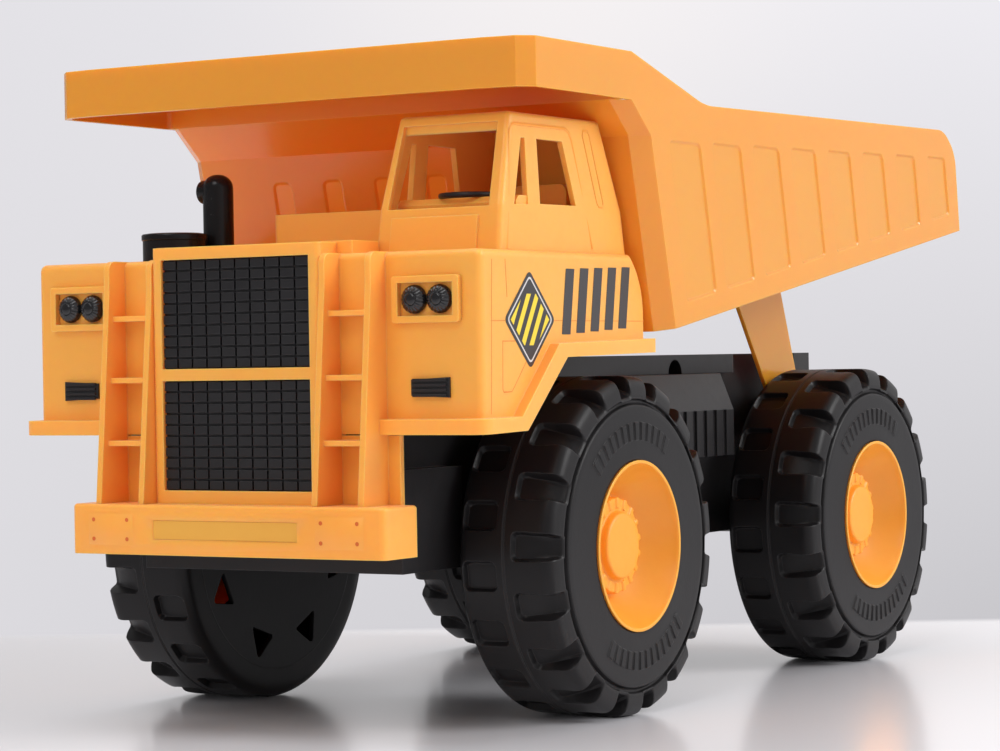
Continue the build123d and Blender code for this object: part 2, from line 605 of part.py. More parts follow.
with BuildPart() as bed_hollow:
    with BuildSketch(Plane.YZ.offset(-(BED_HALF - BED_WALL))):
        with BuildLine():
            Polyline(
                *side_profile(
                    [
                        (HEAD_TOP[0] + BED_WALL, BED_TOP + 10),
                        (OVERALL_LENGTH + 10, BED_TOP + 10),
                        (OVERALL_LENGTH + 10, floor_under(OVERALL_LENGTH + 10) + BED_WALL),
                        (SLOPE_FOOT[0] + 1.3, floor_under(SLOPE_FOOT[0] + 1.3) + BED_WALL),
                        (SLOPE_HEAD[0] + BED_WALL, SLOPE_HEAD[1] + 0.6),
                        (HEAD_TOP[0] + BED_WALL, HEAD_TOP[1] + 0.9),
                    ]
                ),
                close=True,
            )
        make_face()
    extrude(amount=2 * (BED_HALF - BED_WALL))
    add(corner_prism(2.3), mode=Mode.SUBTRACT)
with BuildPart() as bed:
    with BuildSketch(Plane.YZ.offset(-BED_HALF)):
        with BuildLine():
            Polyline(
                *side_profile(
                    [
                        (HEAD_TOP[0], BED_TOP),
                        (CANOPY_REAR, BED_TOP),
                        SIDE_DIP,
                        SIDE_TAIL,
                        TAIL_TURN,
                        (OVERALL_LENGTH, FLOOR_REAR),
                        SLOPE_FOOT,
                        SLOPE_HEAD,
                        HEAD_TOP,
                    ]
                ),
                close=True,
            )
        make_face()
    extrude(amount=2 * BED_HALF)
    add(corner_prism(0.0), mode=Mode.SUBTRACT)
    add(bed_hollow.part, mode=Mode.SUBTRACT)
    # canopy over the cab, an open tray with a folded front corner at each side
    facet_width, facet_depth, corner_bevel = CANOPY_CORNER
    for wall, low, way in ((0.0, CANOPY_LOW, Mode.ADD), (BED_WALL, CANOPY_LOW - 1, Mode.SUBTRACT)):
        half = BED_HALF - wall
        fore = CANOPY_FRONT + wall
        aft = HEAD_TOP[0]
        with BuildSketch(Plane.XY.offset(low)) as canopy_plan:
            with BuildLine():
                Polyline(
                    (0, FRONT + fore),
                    (half - facet_width, FRONT + fore),
                    (half - corner_bevel, FRONT + fore + facet_depth),
                    (half, FRONT + fore + facet_depth + corner_bevel),
                    (half, FRONT + aft),
                    (0, FRONT + aft),
                    close=True,
                )
            make_face()
            mirror(about=Plane.YZ)
        extrude(amount=BED_TOP - wall - low, mode=way)
    # pressed panels along both sides
    for n in range(PANELS):
        along = n / (PANELS - 1)
        fore_top, fore_low, wide, top = (a + (b - a) * along for a, b in zip(PANEL_FIRST, PANEL_LAST))
        low = floor_under(fore_low) + PANEL_MARGIN
        corners = [
            (fore_top, top),
            (fore_top + wide, top),
            (fore_low + wide, low + FLOOR_RISE * wide),
            (fore_low, low),
        ]
        for plane_x in (BED_HALF - PANEL_DEPTH, -BED_HALF):
            with BuildSketch(Plane.YZ.offset(plane_x)):
                with BuildLine():
                    Polyline(*side_profile(corners), close=True)
                make_face()
            extrude(amount=PANEL_DEPTH, mode=Mode.SUBTRACT)
    # pressed ribs up the headboard
    rib_low, rib_high = RIB_REACH
    for n in range(RIBS):
        with BuildSketch(Plane.YZ.offset((n - (RIBS - 1) / 2) * RIB_PITCH - RIB_WIDTH / 2)):
            with BuildLine():
                Polyline(
                    *side_profile(
                        [
                            (headboard_front(rib_low) - 1, rib_low),
                            (headboard_front(rib_low) + PANEL_DEPTH, rib_low),
                            (headboard_front(rib_high) + PANEL_DEPTH, rib_high),
                            (headboard_front(rib_high) - 1, rib_high),
                        ]
                    ),
                    close=True,
                )
            make_face()
        extrude(amount=RIB_WIDTH, mode=Mode.SUBTRACT)

# ---------------------------------------------------------------- bed legs
LEG_TOP = (269.6, 312.0)             # back-distances where the leg meets the floor
FLANGE = (12.0, 1.6)                 # width and thickness of the flange under the floor
with BuildPart() as bed_leg_left:
    with BuildSketch(Plane.YZ.offset(LEG_INNER)):
        with BuildLine():
            Polyline(
                *side_profile(
                    [
                        (LEG_TOP[0], floor_under(LEG_TOP[0])),
                        (LEG_TOP[1], floor_under(LEG_TOP[1])),
                        (HINGE_BACK + 12.5, HINGE_Z),
                        (HINGE_BACK + 8.0, HINGE_Z - 11.0),
                        (HINGE_BACK, HINGE_Z - 13.0),
                        (HINGE_BACK - 9.0, HINGE_Z - 10.0),
                        (HINGE_BACK - 13.4, HINGE_Z),
                    ]
                ),
                close=True,
            )
        make_face()
        with Locations((FRONT + HINGE_BACK, HINGE_Z)):
            Circle(HINGE_RADIUS + RUNNING_FIT, mode=Mode.SUBTRACT)
    extrude(amount=LEG_THICK)
    with BuildSketch(Plane.YZ.offset(LEG_INNER - FLANGE[0])):
        with BuildLine():
            Polyline(
                *side_profile(
                    [
                        (LEG_TOP[0], floor_under(LEG_TOP[0])),
                        (LEG_TOP[1], floor_under(LEG_TOP[1])),
                        (LEG_TOP[1], floor_under(LEG_TOP[1]) - FLANGE[1]),
                        (LEG_TOP[0], floor_under(LEG_TOP[0]) - FLANGE[1]),
                    ]
                ),
                close=True,
            )
        make_face()
    extrude(amount=FLANGE[0])

# ------------------------------------------------- wheel, drawn on the X axis, outer face to +X
LUGS = 18                            # tread pockets around each half of the tyre
POCKET_DEPTH = 6.5
POCKET_WIDTH = 10.6
SEAM_HALF = 3.0                      # plain band each side of the middle
TYRE_WALL = 3.4
SIDEWALL_BULGE = 0.9                 # the tyre's side stands out at its bead
BEAD_RADIUS = 29.8
WEB_THICK = 2.0
WEB_OPENINGS = 8
WEB_OPENING = (36.0, 46.5, 6.8)      # base radius, apex radius, half width
HUB_RADIUS = 17.3
HUB_STEP = 5.8
BOSS_RADIUS = 11.6
BOSS_STEP = 3.0
SHOULDER = TYRE_WIDTH - SIDEWALL_BULGE
CARCASS = TYRE_RADIUS - POCKET_DEPTH - TYRE_WALL
with BuildPart() as tyre:
    with BuildSketch(Plane.XY):
        with BuildLine():
            Polyline(
                (0.0, AXLE_RADIUS + RUNNING_FIT),
                (0.0, TYRE_RADIUS),
                (SHOULDER, TYRE_RADIUS),
                (TYRE_WIDTH, BEAD_RADIUS),
                (TYRE_WIDTH - TYRE_WALL - 1.0, BEAD_RADIUS),
                (TYRE_WIDTH - TYRE_WALL - 1.0, CARCASS),
                (WEB_THICK, CARCASS),
                (WEB_THICK, AXLE_RADIUS + RUNNING_FIT),
                close=True,
            )
        make_face()
    revolve(axis=Axis.X)
    # tread pockets, cut in from both shoulders and staggered by half a pitch
    pocket_length = SHOULDER / 2 - SEAM_HALF
    for shoulder_x, way, turn in ((0.0, 1, 0.0), (SHOULDER, -1, 180.0 / LUGS)):
        for n in range(LUGS):
            pocket_plane = Plane.XY.rotated((n * 360.0 / LUGS + turn, 0, 0))
            with BuildSketch(pocket_plane.offset(TYRE_RADIUS - POCKET_DEPTH)):
                with Locations((shoulder_x + way * pocket_length / 2, 0)):
                    Rectangle(pocket_length, POCKET_WIDTH)
            extrude(amount=POCKET_DEPTH + 2, mode=Mode.SUBTRACT)
    # triangular openings in the inner web
    base_radius, apex_radius, opening_half = WEB_OPENING
    with BuildSketch(Plane.YZ):
        with PolarLocations(0, WEB_OPENINGS):
            with BuildLine():
                Polyline(
                    (apex_radius, 0.0), (base_radius, opening_half), (base_radius, -opening_half), close=True
                )
            make_face()
    extrude(amount=WEB_THICK, mode=Mode.SUBTRACT)
with BuildPart() as rim:
    with BuildSketch(Plane.XY):
        with BuildLine():
            Polyline(
                (WEB_THICK, AXLE_RADIUS + RUNNING_FIT),
                (WEB_THICK, 8.0),
                (DISH_FLOOR - 2.0, 8.0),
                (DISH_FLOOR - 2.0, 19.4),
                (TYRE_WIDTH - TYRE_WALL, BEAD_RADIUS),
                (TYRE_WIDTH, BEAD_RADIUS),
                (TYRE_WIDTH + 0.5, BEAD_RADIUS + 0.4),
                (TYRE_WIDTH + 0.5, BEAD_RADIUS - 0.8),
                (DISH_FLOOR, 19.0),
                (DISH_FLOOR, AXLE_RADIUS + RUNNING_FIT),
                close=True,
            )
        make_face()
    revolve(axis=Axis.X)
with BuildPart() as hub_cap:
    with BuildSketch(Plane.XY):
        with BuildLine():
            Polyline(
                (DISH_FLOOR, AXLE_RADIUS + 1.0),
                (DISH_FLOOR, HUB_RADIUS),
                (DISH_FLOOR + HUB_STEP, HUB_RADIUS),
                (DISH_FLOOR + HUB_STEP, BOSS_RADIUS + 0.8),
                (DISH_FLOOR + HUB_STEP + BOSS_STEP, BOSS_RADIUS),
                (DISH_FLOOR + HUB_STEP + BOSS_STEP, 0.0),
                (DISH_FLOOR + 2.2, 0.0),
                (DISH_FLOOR + 2.2, AXLE_RADIUS + 1.0),
                close=True,
            )
        make_face()
    revolve(axis=Axis.X)

# ---------------------------------------------------------------- placing and writing
mirrored = {
    "side_tank": side_tank_left,
    "headlamp_bezel": headlamp_bezel_left,
    "headlamps": headlamps_left,
    "vent": vent_left,
    "bed_leg": bed_leg_left,
}
single = {
    "chassis": chassis,
    "bumper": bumper,
    "body_shell": body_shell,
    "cab": cab,
    "cab_seat": cab_seat,
    "steering_wheel": steering_wheel,
    "exhaust_stack": exhaust_stack,
    "air_cleaner": air_cleaner,
    "hinge_pin": hinge_pin,
    "bed": bed,
    **grilles,
    **axles,
}
pieces = {name: built.part for name, built in single.items()}
for name, built in mirrored.items():
    pieces[name + "_left"] = built.part
    pieces[name + "_right"] = mirror(built.part, about=Plane.YZ)
for place, side, axle_back in (
    ("front_left", 1, AXLE_FRONT),
    ("front_right", -1, AXLE_FRONT),
    ("rear_left", 1, AXLE_REAR),
    ("rear_right", -1, AXLE_REAR),
):
    for name, built in (("tyre", tyre), ("rim", rim), ("hub_cap", hub_cap)):
        placed = Pos(TYRE_INNER, FRONT + axle_back, TYRE_RADIUS) * built.part
        if side < 0:
            placed = mirror(placed, about=Plane.YZ)
        pieces[name + "_" + place] = placed
for name, shape in pieces.items():
    shape.label = name
    export_step(shape, "parts/" + name + ".step")
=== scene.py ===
import bmesh
import bpy
import math
from mathutils import Matrix, Vector


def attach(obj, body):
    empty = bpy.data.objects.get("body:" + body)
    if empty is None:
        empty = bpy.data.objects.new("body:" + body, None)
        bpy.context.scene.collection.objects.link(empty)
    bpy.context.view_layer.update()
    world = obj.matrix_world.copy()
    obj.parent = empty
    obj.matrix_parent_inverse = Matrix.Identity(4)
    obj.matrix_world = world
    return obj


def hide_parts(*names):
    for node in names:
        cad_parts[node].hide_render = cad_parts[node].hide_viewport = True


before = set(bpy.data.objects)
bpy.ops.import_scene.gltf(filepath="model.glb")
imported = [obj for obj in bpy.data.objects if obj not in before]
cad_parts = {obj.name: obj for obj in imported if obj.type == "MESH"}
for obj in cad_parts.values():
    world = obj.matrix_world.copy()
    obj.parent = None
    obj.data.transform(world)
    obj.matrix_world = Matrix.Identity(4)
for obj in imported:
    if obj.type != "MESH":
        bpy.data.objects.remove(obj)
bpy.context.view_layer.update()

# ------------------------------------------------------------------ camera
# A long lens at three quarters on the cab side, standing a little below the deck. It comes first
# because the board and the backdrop, in the last section, are laid out from where it stands.
BUMPER_FACE = -0.203
CAMERA_SPOT = Vector((0.5924, BUMPER_FACE - 0.7971, 0.1270))
CAMERA_YAW = 0.544
CAMERA_PITCH = 0.006
CAMERA_ROLL = -0.017
camera = bpy.data.objects.new("camera", bpy.data.cameras.new("camera"))
camera.data.lens = 106.06
camera.data.sensor_width = 36.0
camera.data.clip_start = 0.01
camera.data.clip_end = 20.0
camera.matrix_world = (
    Matrix.Translation(CAMERA_SPOT)
    @ Matrix.Rotation(CAMERA_YAW, 4, "Z")
    @ Matrix.Rotation(math.pi / 2 - CAMERA_PITCH, 4, "X")
    @ Matrix.Rotation(CAMERA_ROLL, 4, "Z")
)
bpy.context.scene.collection.objects.link(camera)
bpy.context.scene.camera = camera

# ------------------------------------------------------------------ chassis, tanks, drum and stack
# The chassis is one satin black moulding, with the side tanks clipped to its rails. The drum and
# the stack are glossier mouldings that plug into the deck: a turned lid is pressed on the drum,
# and a short flanged outlet into the stack.


class Wire:
    """A socket that takes part in sums. Each operator adds its Math node."""

    def __init__(self, nodes, socket):
        self.nodes = nodes
        self.socket = socket

    def math(self, operation, *terms):
        return self.nodes.node("ShaderNodeMath", {"operation": operation}, dict(enumerate(terms)))

    def __add__(self, other):
        return self.math("ADD", self, other)

    def __sub__(self, other):
        return self.math("SUBTRACT", self, other)

    def __rsub__(self, other):
        return self.math("SUBTRACT", other, self)

    def __mul__(self, other):
        return self.math("MULTIPLY", self, other)

    def __truediv__(self, other):
        return self.math("DIVIDE", self, other)

    def __rtruediv__(self, other):
        return self.math("DIVIDE", other, self)

    def __abs__(self):
        return self.math("ABSOLUTE", self)

    __radd__ = __add__
    __rmul__ = __mul__

    def dot(self, other):
        """How far this vector reaches along another."""
        terms = {0: self, 1: other}
        settings = {"operation": "DOT_PRODUCT"}
        return self.nodes.node("ShaderNodeVectorMath", settings, terms, "Value")

    def ramp(self, low, high):
        """0 below low, 1 above high, and smooth between."""
        terms = {"Value": self, "From Min": low, "From Max": high}
        return self.nodes.node("ShaderNodeMapRange", {"interpolation_type": "SMOOTHSTEP"}, terms)

    def clamped(self, low, high):
        return self.nodes.node("ShaderNodeClamp", {}, {"Value": self, "Min": low, "Max": high})


class Nodes:
    """A node tree, and the one way that nodes are added to it."""

    def __init__(self, tree):
        self.tree = tree

    def node(self, kind, settings, sockets, out=0):
        made = self.tree.nodes.new(kind)
        for name, value in settings.items():
            setattr(made, name, value)
        for key, value in sockets.items():
            self.feed(made.inputs[key], value)
        return Wire(self, made.outputs[out])

    def feed(self, socket, value):
        """Link a wire to a socket, or set the socket to a number, a vector or a colour."""
        if isinstance(value, Wire):
            self.tree.links.new(value.socket, socket)
        elif socket.type == "RGBA":
            socket.default_value = (*value, 1.0)
        else:
            socket.default_value = value

    def mix(self, share, first, second):
        """A colour between two, by a share of 0 to 1."""
        terms = {0: share, 6: first, 7: second}
        return self.node("ShaderNodeMix", {"data_type": "RGBA"}, terms, 2)

    def place(self):
        return self.node("ShaderNodeTexCoord", {}, {}, "Object")

    def noise(self, where, scale, detail=2.0, roughness=0.5):
        terms = {"Vector": where, "Scale": scale, "Detail": detail, "Roughness": roughness}
        return self.node("ShaderNodeTexNoise", {}, terms)


class Finish(Nodes):
    """A material of one Principled shader, made with the values that are the same all over it."""

    def __init__(self, name, **uniform):
        self.material = bpy.data.materials.new(name)
        self.material.use_nodes = True
        super().__init__(self.material.node_tree)
        self.shader = self.tree.nodes["Principled BSDF"]
        for socket, value in uniform.items():
            self.shader.inputs[socket.replace("_", " ")].default_value = value

    def paint(self, socket, value):
        self.feed(self.shader.inputs[socket], value)

    def softened(self, radius):
        """A normal that rounds the sharp edges, and how far it turns from the true face there."""
        soft = self.node("ShaderNodeBevel", {"samples": 4}, {"Radius": radius})
        return soft, 1.0 - soft.dot(self.node("ShaderNodeNewGeometry", {}, {}, "Normal"))

    def grain(self, strength, depth, height, **under):
        """Break up the gloss with a fine bump. A Normal given here lies under it."""
        terms = {"Strength": strength, "Distance": depth, "Height": height, **under}
        self.paint("Normal", self.node("ShaderNodeBump", {}, terms))


GRAIN_DEPTH = 0.00012


def moulding(name, colour, shade, edge_highlight, gloss, grain, round_edge=0.0005, **uniform):
    """A moulded or sprayed finish: drifting tone, a painted highlight that lightens the rounded
    edges, and a grain in the gloss.
    """
    finish = Finish(name, **uniform)
    place = finish.place()
    drift = finish.noise(place, 14.0, 4.0, 0.55).ramp(0.3, 0.7)
    speck = finish.noise(place, 260.0, 3.0, 0.6).ramp(0.35, 0.75)
    soft, turn = finish.softened(round_edge)
    edge = turn.ramp(0.015, 0.16)
    tone = finish.mix(drift * 0.65 + speck * 0.2, colour, shade)
    # Rounded edges are lightened toward a paler colour: a painted highlight where the gloss would
    # catch the light.
    finish.paint("Base Color", finish.mix(edge * 0.7, tone, edge_highlight))
    finish.paint("Roughness", gloss + drift * 0.05 + speck * 0.05 - edge * 0.06)
    fine = finish.noise(place, 1500.0)
    wave = finish.noise(place, 90.0)
    finish.grain(grain, GRAIN_DEPTH, fine * 0.6 + wave * 0.9, Normal=soft)
    return finish.material


def repaint(nodes, material):
    """Give its material to each solid that shows as it is."""
    for name in nodes:
        for holder in bpy.data.objects[name].material_slots:
            holder.material = material


black_satin = moulding(
    "black_plastic",
    colour=(0.0115, 0.0108, 0.0115),
    shade=(0.017, 0.016, 0.017),
    edge_highlight=(0.045, 0.044, 0.047),
    gloss=0.34,
    grain=0.35,
    Specular_IOR_Level=0.3,
)
black_gloss = moulding(
    "black_gloss",
    colour=(0.0085, 0.008, 0.0085),
    shade=(0.012, 0.011, 0.012),
    edge_highlight=(0.035, 0.034, 0.036),
    gloss=0.22,
    grain=0.15,
    Specular_IOR_Level=0.22,
)
repaint(("chassis", "side_tank_left", "side_tank_right"), black_satin)
repaint(("air_cleaner", "exhaust_stack"), black_gloss)

MM = 0.001


def at(across, back, up):
    """A point from millimetres: across, back from the bumper's face, and up from the ground."""
    return Vector((across * MM, BUMPER_FACE + back * MM, up * MM))


def piece(name, mesh, material, body, crease=35.0, stands_for=()):
    """Put a finished mesh on a body of the truck, shaded smooth but for its sharp folds."""
    mesh.name = name
    mesh.materials.clear()
    mesh.materials.append(material)
    mesh.shade_smooth()
    mesh.set_sharp_from_angle(angle=math.radians(crease))
    made = bpy.data.objects.new(name, mesh)
    bpy.context.scene.collection.objects.link(made)
    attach(made, body)
    if stands_for:
        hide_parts(*stands_for)
    return made


WELD = 1e-6


def closed_up(mesh):
    """Weld the corners of a mesh that meet, and turn its faces outward."""
    work = bmesh.new()
    work.from_mesh(mesh)
    bmesh.ops.remove_doubles(work, verts=work.verts, dist=WELD)
    bmesh.ops.recalc_face_normals(work, faces=work.faces)
    work.to_mesh(mesh)
    work.free()
    return mesh


def unchanged(along, radius, angle):
    return along, radius


def ring(rows, angles, swell=unchanged):
    """Turn rows of (along, radius) in millimetres about X, with a column at each angle.

    swell gives the changed row for an angle.
    """
    corners = []
    for angle in angles:
        for row in rows:
            along, radius = swell(*row, angle)
            up, aside = radius * math.cos(angle), radius * math.sin(angle)
            corners.append((along * MM, up * MM, aside * MM))
    deep, count = len(rows), len(angles)
    sides = []
    for step in range(count):
        here, there = step * deep, (step + 1) % count * deep
        sides += [(here + n, here + n + 1, there + n + 1, there + n) for n in range(deep - 1)]
    mesh = bpy.data.meshes.new("ring")
    mesh.from_pydata(corners, [], sides)
    return closed_up(mesh)


def lathe(rows, count, swell=unchanged):
    """A ring with its columns evenly round."""
    return ring(rows, [2 * math.pi * step / count for step in range(count)], swell)


def moved(mesh, place):
    """The same mesh, moved by a matrix."""
    mesh.transform(place)
    mesh.update()
    return mesh


def stood(mesh, spot, turn):
    """The same mesh, turned and then stood on a spot."""
    return moved(mesh, Matrix.Translation(spot) @ turn)


def joined(meshes):
    """One mesh out of several."""
    work = bmesh.new()
    for mesh in meshes:
        work.from_mesh(mesh)
    whole = bpy.data.meshes.new("joined")
    work.to_mesh(whole)
    work.free()
    return whole


# a turned piece's axis, as made and as stood on end
AXIS_AS_MADE = Matrix.Identity(4)
AXIS_UP = Matrix.Rotation(-math.pi / 2, 4, "Y")
# rows of (along, radius)
LID_ROWS = [
    (0.0, 11.0), (0.05, 11.55), (0.3, 11.8), (1.9, 11.8), (2.25, 11.65), (2.45, 11.3), (2.4, 10.6),
]
OUTLET_ROWS = [
    (1.4, 0.0), (1.4, 4.3), (-1.6, 4.3), (-2.1, 4.1), (-2.3, 3.6), (-2.3, 3.2), (-2.0, 2.9),
    (-0.6, 2.8), (-0.6, 0.0),
]
DRUM_TOP = at(-50.4, 43.0, 170.6)
STACK_END = at(-48.2, 60.0, 188.6)
lid = stood(lathe(LID_ROWS, 96), DRUM_TOP, AXIS_UP)
piece("air_cleaner_lid", lid, black_gloss, "truck", 40.0)
outlet = stood(lathe(OUTLET_ROWS, 48), STACK_END, AXIS_AS_MADE)
piece("stack_outlet", outlet, black_gloss, "truck", 40.0)

# ------------------------------------------------------------------ axles, hinge pin and screws
# Cut and tumbled steel rod: two axles through the chassis and one pin through the bed's legs, all
# fine-drawn along their length. Four pan-head screws hold the chassis up to the body from below.
steel = Finish("drawn_steel", Metallic=1.0)
drawn_out = steel.node(
    "ShaderNodeMapping", {}, {"Vector": steel.place(), "Scale": (60.0, 2600.0, 2600.0)}
)
scratches = steel.noise(drawn_out, 1.0, 3.0)
dull, bright = (0.50, 0.49, 0.47), (0.66, 0.65, 0.63)
steel.paint("Base Color", steel.mix(scratches.ramp(0.3, 0.7), dull, bright))
steel.paint("Roughness", 0.24 + scratches * 0.2)
steel.grain(0.2, 0.00005, scratches)
repaint(("axle_front", "axle_rear", "hinge_pin"), steel.material)

CROSS_RADIUS = 1.7
CROSS_DEPTH = 0.7
CROSS_ARM = 0.55


def cross_swell(out, radius, angle):
    """Sink a cross for the driver into a screw's head."""
    if radius < CROSS_RADIUS and abs(math.sin(2 * angle)) < CROSS_ARM:
        out -= CROSS_DEPTH
    return out, radius


AXIS_DOWN = Matrix.Rotation(math.pi / 2, 4, "Y")
SCREW_ROWS = [
    (0.0, 0.0), (0.0, 3.3), (0.5, 3.4), (1.1, 3.2), (1.6, 2.7), (1.85, 2.1), (1.9, 1.75),
    (1.9, 1.6), (1.9, 0.9), (1.9, 0.0),
]
SCREW_OUT = 40.0
SCREW_BACKS = (161.4, 271.4)
SCREW_UP = 64.0
screws = [
    stood(lathe(SCREW_ROWS, 48, cross_swell), at(out, back, SCREW_UP), AXIS_DOWN)
    for out in (-SCREW_OUT, SCREW_OUT)
    for back in SCREW_BACKS
]
piece("body_screws", joined(screws), steel.material, "truck", 30.0)

# ------------------------------------------------------------------ tyres
# Each tyre is a hollow black moulding of stiff vinyl: a flat tread with staggered pockets on both
# sides of a fine mould seam, a ring groove, two arcs of grip bars, and a web with openings.
TYRE_RADIUS = 60.0
TREAD_MIDDLE = 19.05
GROOVE_RADIUS = 51.2
TREAD_FROM = 51.45
LUGS = 18
PITCH = 2 * math.pi * TYRE_RADIUS / LUGS
# pockets run from the seam's band to the shoulder, where the outer row is narrower and deeper
POCKET_HALF = 5.3
POCKET_CORNER = 2.6
POCKET_WALL = 0.9
POCKET_FOOT = 0.8
INNER_START = 2.6
INNER_DEPTH = 2.2
OUTER_END = 60.0
OUTER_DEPTH = 1.9
SHOULDER_OUT = 36.5
SHOULDER_DEPTH = 6.8
SHOULDER_HALF = 4.7
SHOULDER_FOOT = 2.6
SEAM_BAND = 2.9
SEAM_SIDE = (0.2, 0.5)
SEAM_DEPTH = 0.25
# the section, as (out along the axle, radius), from the web round the outside to the web again
WEB_RIM = 49.0
web_edge = [
    (0.0, WEB_RIM), (0.0, 51.0), (0.0, 53.0), (0.05, 54.8), (0.2, 56.3), (0.6, 57.6), (1.2, 58.6),
    (1.9, 59.25), (2.5, 59.6), (3.0, 59.78), (3.5, 59.9),
]
tread_outs = [
    4.2, 5.2, 8.0, 11.0, 12.6, 13.4, 14.0, 14.5, 14.9, 15.3, 15.7, 16.1, 16.6, 17.4, 18.45, 18.7,
    19.05, 19.4, 19.65, 20.7, 21.5, 22.0, 22.4, 22.8, 23.2, 23.6, 24.1, 24.7, 25.5, 27.0, 28.2,
    28.9, 29.4, 29.8, 30.2, 30.6, 31.1, 31.8, 32.8,
]
side_rows = [
    (33.8, 59.9), (34.8, 59.7), (35.7, 59.3), (36.5, 58.7), (37.15, 57.9), (37.6, 56.9),
    (37.9, 55.8), (38.05, 54.6), (38.2, 53.4), (38.3, 52.6), (38.25, 52.15), (37.95, 51.8),
    (37.3, 51.55), (36.85, 51.2), (36.75, 50.75), (36.95, 50.3), (37.6, 49.95), (38.2, 49.7),
    (38.5, 49.3), (38.6, 48.6), (38.62, 47.0), (38.68, 44.0), (38.8, 38.0), (38.9, 33.5),
    (38.98, 31.6), (38.95, 30.8), (38.7, 30.2), (37.8, 29.85), (35.0, 29.85), (34.6, 30.6),
    (34.6, 40.0), (34.5, 49.4), (33.8, 50.1), (18.0, 50.1), (2.8, 50.1), (2.1, 49.6),
    (2.0, WEB_RIM), (0.0, WEB_RIM),
]
tyre_rows = web_edge + [(out, TYRE_RADIUS) for out in tread_outs] + side_rows


def pocket(out, angle):
    """How deep the tread is sunk at a place, in millimetres."""
    outer = out > TREAD_MIDDLE
    turn = angle / (2 * math.pi) * LUGS + (0.5 if outer else 0.0)
    around = (turn - round(turn)) * PITCH
    if outer:
        low, high = TREAD_MIDDLE + SEAM_BAND, OUTER_END
        along = min(max((out - low) / (SHOULDER_OUT - low), 0.0), 1.0)
        deepest = OUTER_DEPTH + (SHOULDER_DEPTH - OUTER_DEPTH) * along**1.5
    else:
        low, high = INNER_START, TREAD_MIDDLE - SEAM_BAND
        along = 0.0
        deepest = INNER_DEPTH
    half = POCKET_HALF + (SHOULDER_HALF - POCKET_HALF) * along
    # how far the place lies inside a rectangle with round corners
    reach_around = abs(around) - half + POCKET_CORNER
    reach_out = abs(out - (low + high) / 2) - (high - low) / 2 + POCKET_CORNER
    past = math.hypot(max(reach_around, 0.0), max(reach_out, 0.0)) - POCKET_CORNER
    inside = max(-(past + min(max(reach_around, reach_out), 0.0)), 0.0)
    # the wall falls off smoothly, and a round foot leads to the floor
    wall = min(inside / POCKET_WALL, 1.0)
    fillet = POCKET_FOOT + (SHOULDER_FOOT - POCKET_FOOT) * along
    foot = max(fillet - inside, 0.0)
    floor_depth = deepest - fillet + math.sqrt(fillet * fillet - foot * foot)
    return wall * wall * (3 - 2 * wall) * floor_depth


def tyre_swell(out, radius, angle):
    """Sink the pockets, and a fine groove on each side of the seam, into the tread."""
    if radius > TREAD_FROM:
        deep = pocket(out, angle)
        share = (TYRE_RADIUS - deep - GROOVE_RADIUS) / (TYRE_RADIUS - GROOVE_RADIUS)
        radius = GROOVE_RADIUS + (radius - GROOVE_RADIUS) * share
        if SEAM_SIDE[0] < abs(out - TREAD_MIDDLE) < SEAM_SIDE[1]:
            radius -= SEAM_DEPTH
    return out, radius


# columns are close together where the pockets' walls stand, and wide apart between them
walls = [2.4, 2.9, 3.4, 3.8, 4.2, 4.55, 4.85, 5.1, 5.35, 5.65, 6.0, 6.5, 7.2]
columns = sorted([0.0, 1.2, -1.2, 8.6, -8.6, PITCH / 2] + walls + [-wall for wall in walls])
tyre_angles = [
    (n + column / PITCH) * 2 * math.pi / LUGS for n in range(LUGS) for column in columns
]


def plate(loops, thickness, rounding=0.0):
    """A flat plate in XY from closed loops in millimetres, inner loops cut out, rims rounded."""
    outline = bpy.data.curves.new("outline", "CURVE")
    outline.dimensions = "2D"
    outline.fill_mode = "BOTH"
    outline.extrude = (thickness / 2 - rounding) * MM
    outline.bevel_depth = rounding * MM
    outline.bevel_resolution = 2
    outline.offset = -rounding * MM
    for loop in loops:
        line = outline.splines.new("POLY")
        line.points.add(len(loop) - 1)
        for point, (across, up) in zip(line.points, loop):
            point.co = (across * MM, up * MM, 0.0, 1.0)
        line.use_cyclic_u = True
    carrier = bpy.data.objects.new("outline", outline)
    mesh = bpy.data.meshes.new_from_object(carrier)
    bpy.data.objects.remove(carrier)
    bpy.data.curves.remove(outline)
    return mesh


def circle(radius, count):
    angles = [2 * math.pi * n / count for n in range(count)]
    return [(radius * math.cos(angle), radius * math.sin(angle)) for angle in angles]


def turned(points, angle):
    """Points of a plane, turned about its middle."""
    cosine, sine = math.cos(angle), math.sin(angle)
    return [(a * cosine - b * sine, a * sine + b * cosine) for a, b in points]


# a plate drawn in XY, stood to face +X with its first axis along Y and its second up
PLATE_TO_SIDE = Matrix.Rotation(math.pi / 2, 4, "Z") @ Matrix.Rotation(math.pi / 2, 4, "X")
WEB_THICK = 2.0
BOSS_HOLE = 2.8
OPENINGS = 8
OPENING = [
    (46.0, 0.0), (45.2, 1.2), (36.8, 6.5), (36.0, 6.2), (36.0, -6.2), (36.8, -6.5), (45.2, -1.2),
]
BOSS_ROWS = [(0.0, BOSS_HOLE), (-0.6, 3.0), (-0.8, 3.4), (-0.8, 7.2), (-0.5, 7.8), (0.2, 8.0)]
GRIPS = 13
GRIP_PITCH = math.radians(6.3)
GRIP = [(37.2, -1.15), (43.6, -1.45), (43.6, 1.45), (37.2, 1.15)]
GRIP_OUT = 38.4
GRIP_THICK = 1.7

